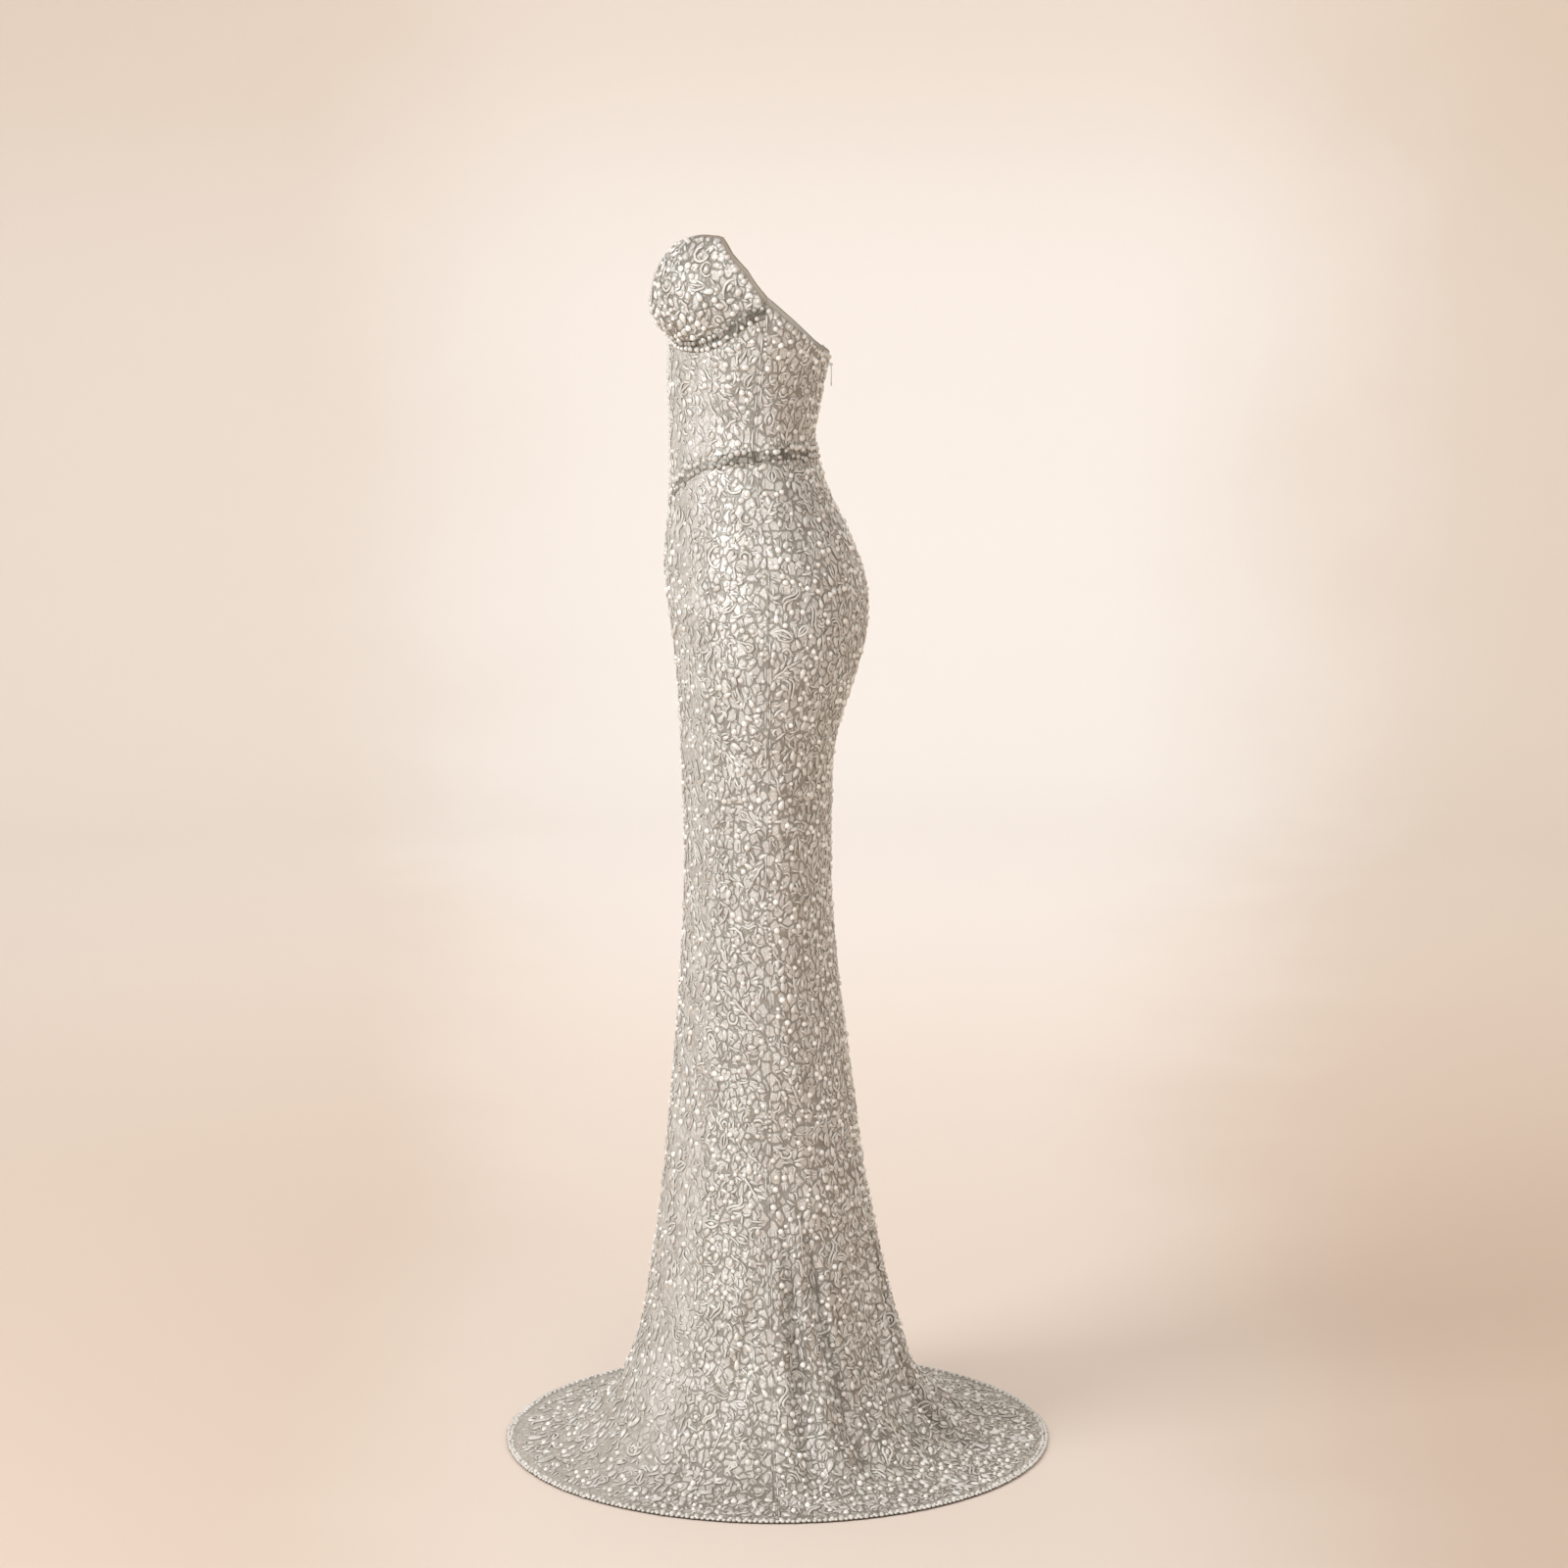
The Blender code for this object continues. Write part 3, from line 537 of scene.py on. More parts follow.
def set_tubes(name, paths, radius, slot, look, closed=False):
    """One mesh of round bindings along these paths, each its places and their directions off the cloth."""
    angle = np.linspace(0, 2 * math.pi, TUBE_SIDES, endpoint=False)[None, :, None]
    rings = []
    for place, out in paths:
        ahead = np.gradient(place, axis=0)
        if closed:
            ahead = np.roll(place, -1, axis=0) - np.roll(place, 1, axis=0)
        across = unit(np.cross(unit(ahead), out))
        over = np.cross(across, unit(ahead))
        round_it = np.cos(angle) * across[:, None] + np.sin(angle) * over[:, None]
        rings.append(place[:, None] + radius * round_it)
    return dress(skinned(name, rings, closed), slot, look)


# The motifs
# Each gives its lines of cord and its stones on a flat piece of cloth, x to the left and y down, in metres. A
# stone is its kind, place, turn in degrees, half width and half length.

STITCH, FINE_STITCH = 0.0040, 0.0031  # a bent cord's steps
PETAL = 0.0021  # half width
CORD_WIDTH, CORD_HEIGHT = 0.0044, 0.0017
FINE_CORD_WIDTH, FINE_CORD_HEIGHT = 0.0041, 0.0015


def way(angle):
    """The direction at an angle in degrees."""
    return np.stack((np.cos(np.radians(angle)), np.sin(np.radians(angle))), -1)


def arc(centre, radius, start, end, step=0.0038):
    """Points along an arc, its angles in degrees."""
    count = max(3, int(abs(math.radians(end - start)) * radius / step) + 1)
    return centre + radius * way(np.linspace(start, end, count))


def pearl(x, y, half_width):
    return ("pearl", x, y, 0, half_width, half_width)


def leaf(draw):
    """Two edges that meet in points, round a stone or a vein."""
    length, width = draw.uniform(0.024, 0.036), draw.uniform(0.011, 0.016)
    share = np.linspace(0, 1, max(5, int(length / STITCH)))
    edge = np.stack((width / 2 * np.sin(math.pi * share) ** 0.8, (share - 0.5) * length), -1)
    if draw.random() < 0.45:
        vein = np.array((-0.42, -0.1, 0.2, 0.42)) * length
        return [edge * (-1, 1), edge, np.stack((0 * vein, vein), -1)], []
    return [edge * (-1, 1), edge], [("drop", 0, length * 0.02, 180, 0.0024, 0.0038)]


def sprig(draw):
    """A stem with pairs of petals and a pearl at its foot."""
    pairs = draw.choice((2, 3, 3, 4))
    pitch, bend = draw.uniform(0.0085, 0.0105), draw.uniform(-0.006, 0.006)
    length = pairs * pitch
    y = np.linspace(-length / 2, length / 2 + 0.004, 3 * pairs)
    stem = np.stack((bend * (y / length) ** 2, y), -1)
    spread, half_length = draw.uniform(28, 46), draw.uniform(0.0036, 0.0046)
    stones = [("drop", bend / 4, -length / 2 - half_length - 0.001, 180, PETAL, half_length)]
    stones.append(pearl(bend / 4, length / 2 + 0.0065, 0.0023))
    for k in range(pairs):
        at = -length / 2 + (k + 0.35) * pitch
        for side in (-1, 1):
            x = side * (0.0020 + half_length * math.sin(math.radians(spread))) + bend * (at / length) ** 2
            stones.append(("drop", x, at, 180 - side * spread, PETAL, half_length))
    return [stem], stones


def flower(draw):
    count, reach = draw.choice((5, 6)), draw.uniform(0.0068, 0.0082)
    angles = [360 / count * k for k in range(count)]
    petals = [("drop", *(reach * way(angle)), angle + 90, PETAL, 0.0035) for angle in angles]
    return [arc((0, 0), reach + 0.0070, 20, draw.uniform(150, 300))], [pearl(0, 0, 0.0024), *petals]


def wave(draw):
    length, swing = draw.uniform(0.030, 0.046), draw.uniform(0.004, 0.008)
    share = np.linspace(0, 1, 11)
    line = np.stack((swing * np.sin(2 * math.pi * share), (share - 0.5) * length), -1)
    return [line, line[2:-1] + (0.0046, 0.0016)], [pearl(0, length / 2 + 0.004, 0.0024)]


def fan(draw):
    spread = draw.uniform(95, 150)
    rows = draw.choice((2, 3, 3))
    lines = [arc((0, 0), 0.0062 + 0.0044 * k, 90 - spread / 2, 90 + spread / 2) for k in range(rows)]
    return lines, [("drop", 0, 0.0, 0, 0.0023, 0.0036)]


def loop(draw):
    """A drop-shaped loop that narrows to a stem, doubled inside itself if it is large."""
    length, width = draw.uniform(0.020, 0.032), draw.uniform(0.012, 0.018)
    head = way(np.linspace(-150, 150, 15))[:, ::-1] * width / 2
    line = np.concatenate((((0, -length * 0.75),), head * (1, 1.1), ((0.001, -length * 0.75),)))
    if width > 0.0155:
        return [line, head[2:-2] * 0.45], []
    return [line], [("oval", 0, 0, 0, 0.0024, 0.0038)]


def sticks(draw):
    long = draw.uniform(0.010, 0.016)
    angles = draw.uniform(-12, 12), draw.uniform(35, 75)
    lines = [np.array([way(angle)[::-1] * long * s for s in (0.15, 0.55, 1.0)]) for angle in angles]
    return lines, [pearl(0, -0.003, 0.0023)]


def bent_line(draw, start, heading, length):
    """A cord from a point, bending a little at each step."""
    points = [np.array(start, float)]
    for _ in range(max(2, round(length / STITCH))):
        heading += draw.gauss(0, 16)
        points.append(points[-1] + STITCH * way(heading))
    return np.array(points)


def fork(draw):
    """A stem that parts in two, with a drop in the parting."""
    stem = bent_line(draw, (0, -draw.uniform(0.012, 0.022)), 90, draw.uniform(0.012, 0.022))
    lines, end = [stem], stem[-1]
    for side in (-1, 1):
        turn = draw.uniform(24, 48)
        start = end + (side * 0.0030, 0.0016)
        lines.append(bent_line(draw, start, 90 - side * turn, draw.uniform(0.009, 0.017)))
    return lines, [("drop", end[0], end[1] + 0.0080, 0, 0.0026, 0.0040)]


def cell(draw):
    """An uneven ring of short cords with gaps at its corners, round a bead."""
    corners, radius = draw.choice((4, 5, 5, 6)), draw.uniform(0.0085, 0.0125)
    angle = np.arange(corners) * 360 / corners + draw.uniform(0, 90)
    reach = radius * np.array([draw.uniform(0.8, 1.25) for _ in range(corners)])
    ring = reach[:, None] * way(angle) * (1, 1.2)
    lines = []
    for a, b in zip(ring, np.roll(ring, -1, axis=0)):
        if draw.random() < 0.82:
            middle = (a + b) / 2 * draw.uniform(0.96, 1.14)
            lines.append(np.array((a * 0.86 + b * 0.14, middle, a * 0.14 + b * 0.86)))
    kind = draw.choice(("pearl", "drop", "oval"))
    return lines, [(kind, 0, 0, draw.gauss(0, 25), 0.0030, 0.0030 if kind == "pearl" else 0.0042)]


def worm(draw):
    """A short cord that bends as it goes."""
    heading, bend = draw.gauss(90, 32), draw.uniform(-30, 30)
    points = [np.zeros(2)]
    for _ in range(draw.choice((3, 4, 4, 5, 6))):
        points.append(points[-1] + way(heading) * FINE_STITCH)
        heading += bend + draw.gauss(0, 14)
    points = np.array(points)
    return [points - points.mean(axis=0)], []


def hook(draw):
    radius = draw.uniform(0.0030, 0.0050)
    return [arc((0, 0), radius, 0, draw.uniform(120, 230), 0.0030)], []


def bugle(draw):
    long = draw.uniform(0.0030, 0.0060)
    return [np.array(((0, -long), (draw.uniform(-0.001, 0.001), 0), (0, long)))], []


MOTIFS = {  # the free room that each one needs, and its weight on the skirt and bodice and on the cups
    leaf: (0.0048, 8, 16),
    flower: (0.0070, 5, 8),
    wave: (0.0046, 8, 0),
    fan: (0.0054, 4, 0),
    loop: (0.0054, 5, 8),
    sticks: (0.0042, 26, 20),
    fork: (0.0044, 44, 20),
    cell: (0.0056, 34, 44),
}
ON_CLOTH, ON_CUPS = 1, 2
MOTIF_SCALE = (0.52, 0.92)
LINE_JITTER = 0.00045
CORD_WIDTHS = (0.82, 1.12)  # how much narrower or wider a cord may be
CORD_ROOM = 0.36  # how far round itself a cord keeps others off, as a share of its width
SHORTEST_RUN = 3  # points in a cord that is worth laying
RINGED_SHARE, RING_GAP = 0.3, 0.0026  # large stones that get a ring of cord, and how far off it lies
BEAD_LENGTHS = (0.9, 1.15)
BEAD_ROOM, SMALL_CORD_ROOM = 0.0003, 0.0022
TAKEN_CELL, SPRIG_CELL = 0.012, 0.07
SPRIG_TRIES, SPRIGS_APART = 2500, 0.110  # tries per square metre
BEAD_RISE = {"pearl": 1.25, "seed": 1.1, "drop": 1.05, "oval": 0.95, "gem": 1.05}  # height in half widths
STEPS_ROUND = [(a, b, c) for a in (-1, 0, 1) for b in (-1, 0, 1) for c in (-1, 0, 1)]


class Taken:
    """What lies on the cloth already, so that nothing is set on top of it."""

    def __init__(self, cell):
        self.cell, self.cells = cell, {}

    def key(self, place):
        return tuple(int(math.floor(value / self.cell)) for value in place)

    def free(self, place, radius):
        x, y, z = place
        i, j, k = self.key(place)
        for a, b, c in STEPS_ROUND:
            for px, py, pz, other in self.cells.get((i + a, j + b, k + c), ()):
                if (px - x) ** 2 + (py - y) ** 2 + (pz - z) ** 2 < (radius + other) ** 2:
                    return False
        return True

    def take(self, place, radius):
        self.cells.setdefault(self.key(place), []).append((*place, radius))


class Beadwork:
    """The beads of one panel: large stones, sprigs and motifs, then small cords, drops and pearls between."""

    def __init__(self, panel, seed, clear):
        self.panel, self.clear = panel, clear
        self.taken = Taken(TAKEN_CELL)
        self.draw = random.Random(seed)
        self.rng = np.random.default_rng(seed)
        self.cords, self.beads = [], {kind: [] for kind in BEAD_RISE}
        p = panel.points
        cross = np.cross(p[1:, :-1] - p[:-1, :-1], p[:-1, 1:] - p[:-1, :-1])
        self.cell_areas = np.linalg.norm(cross, axis=-1).ravel()

    def spots(self, per_square_metre):
        """Places spread evenly by area, each with all that is needed to set something there."""
        area = self.cell_areas
        cell = self.rng.choice(len(area), int(area.sum() * per_square_metre), p=area / area.sum())
        offset = self.rng.random((2, len(cell)))
        return self.spots_at(cell % self.panel.columns + offset[0], cell // self.panel.columns + offset[1])

    def spots_at(self, u, v):
        place, out = self.panel.at(u, v)
        left, below, (per_left, skew, per_down) = self.panel.ways(u, v)
        return list(zip(u, v, place.tolist(), out, left, below, per_left, skew, per_down))

    def on_cloth(self, u, v, per_left, per_down, margin):
        """Whether these places are clear of the panel's edges and of what is sewn along them."""
        top, bottom, first, last = (value + margin for value in self.clear)
        across = (u >= first * per_left) & (u <= self.panel.columns - last * per_left)
        return across & (v >= top * per_down) & (v <= self.panel.rows - bottom * per_down)

    def bead(self, spot, kind, angle, half_width, half_length, room=BEAD_ROOM):
        """Sets one bead if its place is free. angle is its length's turn from straight down, in degrees."""
        u, v, place, out, left, below, per_left, _, per_down = spot
        taken = (half_width + half_length) / 2 + room
        if not self.on_cloth(u, v, per_left, per_down, half_width) or not self.taken.free(place, taken):
            return False
        along = below * math.cos(math.radians(angle)) + left * math.sin(math.radians(angle))
        across, foot = np.cross(along, out), place - out * CORD_SUNK
        sizes = half_width, half_length, BEAD_RISE[kind] * half_width
        self.beads[kind].append((*foot, *across, *along, *out, *sizes, self.draw.random()))
        self.taken.take(place, taken)
        return True

    def lay(self, spot, angle, lines, stones, scale=1.0, width=CORD_WIDTH, height=CORD_HEIGHT):
        """Lays a motif's cords and stones round a spot, turned by this angle, wherever there is room."""
        u, v, _, _, _, _, per_left, skew, per_down = spot
        c, s = math.cos(math.radians(angle)) * scale, math.sin(math.radians(angle)) * scale

        def onto(local):
            x, y = local[:, 0], local[:, 1]
            to_left, to_below = x * c + y * s, y * c - x * s
            return u + to_left * per_left + to_below * skew, v + to_below * per_down

        laid = []
        for line in lines:
            at_u, at_v = onto(line + self.rng.normal(0, LINE_JITTER, line.shape))
            clear = self.on_cloth(at_u, at_v, per_left, per_down, width / 2)
            place, out = self.panel.at(at_u, at_v)
            tone, wide = self.draw.random(), width * self.draw.uniform(*CORD_WIDTHS)
            start = None
            for k in range(len(place) + 1):
                if k < len(place) and clear[k] and self.taken.free(place[k], width * CORD_ROOM):
                    start = k if start is None else start
                elif start is not None:
                    if k - start >= SHORTEST_RUN:
                        self.cords.append((place[start:k], out[start:k], wide, height, tone))
                        laid += place[start:k].tolist()
                    start = None
        for kind, x, y, turn, half_width, half_length in stones:
            at_u, at_v = onto(np.array(((x, y),)))
            if self.on_cloth(at_u, at_v, per_left, per_down, half_width)[0]:
                self.bead(self.spots_at(at_u, at_v)[0], kind, angle + turn, half_width, half_length, room=0.0)
        for place in laid:
            self.taken.take(place, width * CORD_ROOM)

    def set_large_stones(self, anchors, half_width, half_length):
        """Large stones, some of them in a ring of cord."""
        for spot in self.spots_at(*np.array(anchors).T):
            angle = self.draw.choice((0, 0, 20, -20, 90))
            if self.bead(spot, "gem", angle, half_width, half_length) and self.draw.random() < RINGED_SHARE:
                ring = arc((0, 0), 1.0, 0, self.draw.uniform(250, 345), 0.42)
                self.lay(spot, angle, [ring * (half_width + RING_GAP, half_length + RING_GAP)], [])

    def set_sprigs(self, apart):
        """Sprigs, no two nearer than this."""
        laid = Taken(SPRIG_CELL)
        for spot in self.spots(SPRIG_TRIES):
            if laid.free(spot[2], apart / 2):
                laid.take(spot[2], apart / 2)
                self.lay(spot, self.draw.gauss(0, 24) + self.draw.choice((0, 0, 180)), *sprig(self.draw))

    def set_motifs(self, weight, per_square_metre):
        shapes, weights = list(MOTIFS), [row[weight] for row in MOTIFS.values()]
        for spot in self.spots(per_square_metre):
            chosen = self.draw.choices(shapes, weights)[0]
            if self.taken.free(spot[2], MOTIFS[chosen][0]) and not self.calm(spot):
                angle = self.draw.gauss(0, 38) + self.draw.choice((0, 0, 180, 180, 90))
                self.lay(spot, angle, *chosen(self.draw), scale=self.draw.uniform(*MOTIF_SCALE))

    def calm(self, spot):
        """Whether to leave this place plain."""
        return self.draw.random() > busy(*spot[2])

    def set_small_cords(self, per_square_metre):
        for spot in self.spots(per_square_metre):
            chosen = self.draw.choice((worm, worm, hook, bugle))
            if self.taken.free(spot[2], SMALL_CORD_ROOM) and not self.calm(spot):
                angle = self.draw.uniform(0, 360) if chosen is hook else self.draw.gauss(0, 26)
                self.lay(spot, angle, *chosen(self.draw), width=FINE_CORD_WIDTH, height=FINE_CORD_HEIGHT)

    def fill(self, kind, per_square_metre, least, most, longer=1.0, spread=28):
        """Scatters beads of one kind, between these half widths."""
        for spot in self.spots(per_square_metre):
            if kind != "seed" and self.calm(spot):
                continue
            size = self.draw.uniform(least, most)
            angle = self.draw.gauss(0, spread) + self.draw.choice((0, 180))
            self.bead(spot, kind, angle, size, size * longer * self.draw.uniform(*BEAD_LENGTHS))

    def build(self):
        slot = "cup_cloth" if "cup" in self.panel.name else "beaded_cloth"
        stones = self.beads["oval"] + self.beads["gem"]
        set_cords(self.panel.name + "_cords", self.cords, slot, "silver_cord")
        for piece, shape, beads, its_slot, look in (
            ("pearls", "pearl", self.beads["pearl"], "pearls", "pearl"),
            ("seeds", "seed", self.beads["seed"], "pearls", "seed_bead"),
            ("drops", "drop", self.beads["drop"], slot, "drop_stone"),
            ("stones", "stone", stones, slot, "cut_stone"),
        ):
            name = f"{self.panel.name}_{piece}"
            set_beads(name, BEADS[shape], beads, its_slot, look, smooth_faces=shape != "stone")


# Materials


class Wire:
    """A shader socket that takes part in Python arithmetic."""

    def __init__(self, look, socket):
        self.look, self.socket = look, socket

    def __add__(self, other):
        return self.look.math("ADD", self, other)

    def __sub__(self, other):
        return self.look.math("SUBTRACT", self, other)

    def __rsub__(self, other):
        return self.look.math("SUBTRACT", other, self)

    def __mul__(self, other):
        return self.look.math("MULTIPLY", self, other)

    __radd__, __rmul__ = __add__, __mul__


class Look:
    """A material being made. node() adds any node, and its wires take part in Python expressions."""

    def __init__(self, name):
        self.material = bpy.data.materials.new(name)
        self.material.use_nodes = True
        self.tree = self.material.node_tree

    def plug(self, socket, value):
        if isinstance(value, Wire):
            self.tree.links.new(value.socket, socket)
        else:
            socket.default_value = value

    def node(self, kind, sockets=None, out=0, **settings):
        made = self.tree.nodes.new("ShaderNode" + kind)
        for key, value in settings.items():
            setattr(made, key, value)
        for key, value in (sockets or {}).items():
            self.plug(made.inputs[key], value)
        return Wire(self, made.outputs[out])

    def math(self, operation, *values):
        return self.node("Math", dict(enumerate(values)), operation=operation)

    def ramp(self, value, low, high, start=0.0, end=1.0):
        sockets = dict(enumerate((value, low, high, start, end)))
        return self.node("MapRange", sockets, interpolation_type="SMOOTHSTEP")

    def mix(self, factor, a, b, blend="MIX"):
        return self.node("Mix", {0: factor, 6: a, 7: b}, 2, data_type="RGBA", blend_type=blend)

    def attribute(self, name):
        return self.node("Attribute", out="Fac", attribute_name=name)

    def place(self):
        return self.node("TexCoord", out="Object")

    def axis(self, k):
        return self.node("SeparateXYZ", {0: self.place()}, k)

    def noise(self, scale, detail=2.0, roughness=0.5, out="Fac"):
        sockets = {"Vector": self.place(), "Scale": scale, "Detail": detail, "Roughness": roughness}
        return self.node("TexNoise", sockets, out)

    def weave(self, way, scale):
        return self.node("TexWave", {"Vector": self.place(), "Scale": scale}, "Fac", bands_direction=way)

    def bump(self, height, distance):
        return self.node("Bump", {"Height": height, "Distance": distance, "Strength": 1.0})

    def worn_and_floor_shaded(self, colour, share=1.0):
        """The colour with soft duller patches, and with painted shade that makes it a little darker and
        warmer down by the floor.
        """
        patch = 1 - self.ramp(self.noise(31.0, 2.0, 0.65), 0.40, 0.60)
        # painted shade: darker and warmer towards the floor
        low = 1 - self.ramp(self.axis(2), -WAIST_HEIGHT, FLOOR_SHADE_HEIGHT - WAIST_HEIGHT)
        return self.mix(patch * 0.5 + low * 0.88 * share, colour, WEAR_AND_SHADE_TINT, "MULTIPLY")

    def finish(self, **sockets):
        for key, value in sockets.items():
            self.plug(self.tree.nodes["Principled BSDF"].inputs[key.replace("_", " ")], value)
        return self.material


def grey(level, warm=0.0):
    """A near-neutral colour. warm shifts it to beige."""
    return (level * (1 + 0.5 * warm), level, level * (1 - warm), 1)


# height where the painted shade by the floor ends, and the tint that both the duller patches and the painted
# shade multiply by
FLOOR_SHADE_HEIGHT, WEAR_AND_SHADE_TINT = 0.13, (0.765, 0.725, 0.685, 1)
# the colour multiplied in as painted shade deep in the pleats
PLEAT_PAINTED_SHADE = (0.66, 0.61, 0.56, 1)
GROUND_BEADS, GROUND_CHIPS = 430.0, 108.0  # how many to about a metre


def ground_look(name, light, dark, gap):
    """Cloth covered in seed beads about 2 mm across, in chips about 9 mm wide parted by fine dark lines."""
    look = Look(name)
    beads = {"Vector": look.place(), "Scale": GROUND_BEADS, "Randomness": 0.75}
    near = look.node("TexVoronoi", beads, "Distance")
    split = look.node("SeparateColor", {0: look.node("TexVoronoi", beads, "Color")})
    bent = look.node("TexNoise", {"Vector": look.place(), "Scale": 60.0, "Detail": 1.0}, "Color")
    swung = look.node("VectorMath", {0: bent, "Scale": 0.010}, operation="SCALE")
    bent = look.node("VectorMath", {0: look.place(), 1: swung}, operation="ADD")
    drawn_out = look.node("Mapping", {"Vector": bent, "Scale": (1.0, 1.0, 0.68)})
    chips = {"Vector": drawn_out, "Scale": GROUND_CHIPS}
    edge = look.node("TexVoronoi", chips, "Distance", feature="DISTANCE_TO_EDGE")
    chip = look.node("SeparateColor", {0: look.node("TexVoronoi", chips, "Color")})
    line = (1 - look.ramp(edge, 0.05, 0.17)) * look.ramp(look.attribute("busy"), 0.25, 0.95, 0.35, 1.0)
    bright = split * 0.25 + look.ramp(look.noise(46.0, 2.5, 0.6), 0.36, 0.64) * 0.35 + chip * 0.45
    colour = look.mix(bright, dark, light)
    colour = look.mix(look.ramp(near, 0.34, 0.66) * 0.24, colour, gap)
    colour = look.mix(line * 0.90, colour, gap)
    # painted shade: the cloth darker deep in the skirt's pleats
    colour = look.mix(look.attribute("hollow") * 0.8, colour, PLEAT_PAINTED_SHADE, "MULTIPLY")
    rough = look.ramp(split, 0.0, 1.0, 0.50, 0.32)
    height = (1 - look.ramp(near, 0.05, 0.60)) * 0.26 + look.ramp(edge, 0.03, 0.16) * 0.5
    bump = look.bump(height, 0.0011)
    return look.finish(Base_Color=look.worn_and_floor_shaded(colour), Roughness=rough, Metallic=0.25, Normal=bump)


def bead_look(name, light, dull, foot, metallic, roughness, coat):
    """A bead that darkens to its thread and foot, each one a little different from the next. The dark foot is
    also painted shade round its base.
    """
    look = Look(name)
    tone = look.attribute("tone")
    body = look.mix(tone, grey(*light), grey(*dull))
    # painted shade: the foot darkens towards the cloth, with the thread there
    colour = look.mix(look.ramp(look.attribute("lift"), 0.10, 0.62), grey(*foot), body)
    rough = look.ramp(tone, 0.0, 1.0, roughness, roughness + 0.14)
    bump = look.bump(look.noise(900.0, 1.0), 0.0001)
    colour = look.worn_and_floor_shaded(colour, 0.1)
    return look.finish(Base_Color=colour, Roughness=rough, Metallic=metallic, Coat_Weight=coat, Normal=bump)


def cord_look():
    """Silver cord wound across its length, dark where it is couched down, which is also painted shade along
    its feet.
    """
    look = Look("silver_cord")
    wind = look.math("SINE", look.attribute("along") * 3600.0)
    body = look.mix(look.attribute("tone"), grey(0.76, 0.03), grey(0.60, 0.04))
    # painted shade: dark along the feet, with the couching thread
    colour = look.mix(look.ramp(look.attribute("lift"), 0.35, 0.95), grey(0.27, 0.14), body)
    bump = look.bump(wind, 0.00008)
    return look.finish(Base_Color=look.worn_and_floor_shaded(colour, 0.25), Roughness=0.50, Metallic=0.20, Normal=bump)


def lining_look():
    """The plain inside of the cloth, a close weave."""
    look = Look("plain_inside")
    threads = look.weave("Z", 320.0) * look.weave("X", 320.0)
    colour = look.mix(threads, grey(0.50, 0.12), grey(0.62, 0.11))
    return look.finish(Base_Color=colour, Roughness=0.82, Normal=look.bump(threads, 0.0003))


def tape_look():
    look = Look("zip_tape_weave")
    rib = look.weave("Z", 260.0)
    colour = look.mix(rib, grey(0.30, 0.08), grey(0.40, 0.08))
    return look.finish(Base_Color=colour, Roughness=0.85, Normal=look.bump(rib, 0.0002))


def binding_look(name, dark, light):
    look = Look(name)
    rib = look.noise(700.0)
    colour = look.mix(rib, dark, light)
    return look.finish(Base_Color=colour, Roughness=0.6, Metallic=0.1, Normal=look.bump(rib, 0.0004))


def zip_metal_look():
    look = Look("zip_metal")
    brushed = look.noise(1400.0)
    colour = look.mix(brushed, grey(0.36, 0.02), grey(0.50, 0.02))
    return look.finish(Base_Color=colour, Roughness=look.ramp(brushed, 0.2, 0.8, 0.20, 0.32), Metallic=1.0)


BEADS = {
    "pearl": turned_bead(7, PEARL_RINGS),
    "large_pearl": turned_bead(10, PEARL_RINGS),
    "seed": turned_bead(6, SEED_RINGS),
    "drop": turned_bead(8, DROP_RINGS, DROP_POINT),
    "stone": turned_bead(10, STONE_RINGS),
}
GROUNDS = {  # light and dark beads, and the gaps between them
    "beaded_ground": ((0.79, 0.02), (0.58, 0.04), (0.26, 0.11)),
    "cup_ground": ((0.71, 0.04), (0.48, 0.06), (0.20, 0.14)),
    "seam_band": ((0.48, 0.08), (0.20, 0.12), (0.10, 0.18)),
}
# A bead's foot colour is dark for its thread and as painted shade round its base.
BEAD_FINISHES = {  # light and dull ones, their foot, then how metallic, how rough and how coated
    "pearl": ((0.93, 0.03), (0.75, 0.04), (0.24, 0.15), 0.05, 0.27, 0.4),
    "trim_pearl": ((0.80, 0.04), (0.56, 0.05), (0.22, 0.15), 0.10, 0.30, 0.3),
    "dull_bead": ((0.56, 0.06), (0.38, 0.08), (0.15, 0.16), 0.35, 0.34, 0.2),
    "seed_bead": ((0.74, 0.04), (0.58, 0.05), (0.32, 0.14), 0.25, 0.30, 0.1),
    "hem_bead": ((0.74, 0.04), (0.62, 0.05), (0.42, 0.12), 0.15, 0.34, 0.1),
    "drop_stone": ((0.79, 0.03), (0.60, 0.04), (0.28, 0.15), 0.20, 0.40, 0.1),
    "cut_stone": ((0.74, 0.04), (0.56, 0.05), (0.26, 0.15), 0.30, 0.32, 0.1),
}
LOOKS = {
    **{name: ground_look(name, *(grey(*tone) for tone in tones)) for name, tones in GROUNDS.items()},
    **{name: bead_look(name, *finish) for name, finish in BEAD_FINISHES.items()},
    "silver_cord": cord_look(),
    "plain_inside": lining_look(),
    "edge_binding": binding_look("edge_binding", (0.26, 0.19, 0.14, 1), (0.40, 0.31, 0.24, 1)),
    # painted shadow: the hem's binding is near-black for the shadow under the hem's edge
    "hem_binding": binding_look("hem_binding", (0.035, 0.024, 0.018, 1), (0.06, 0.045, 0.035, 1)),
    "zip_metal": zip_metal_look(),
    "zip_tape_weave": tape_look(),
}

# The panels

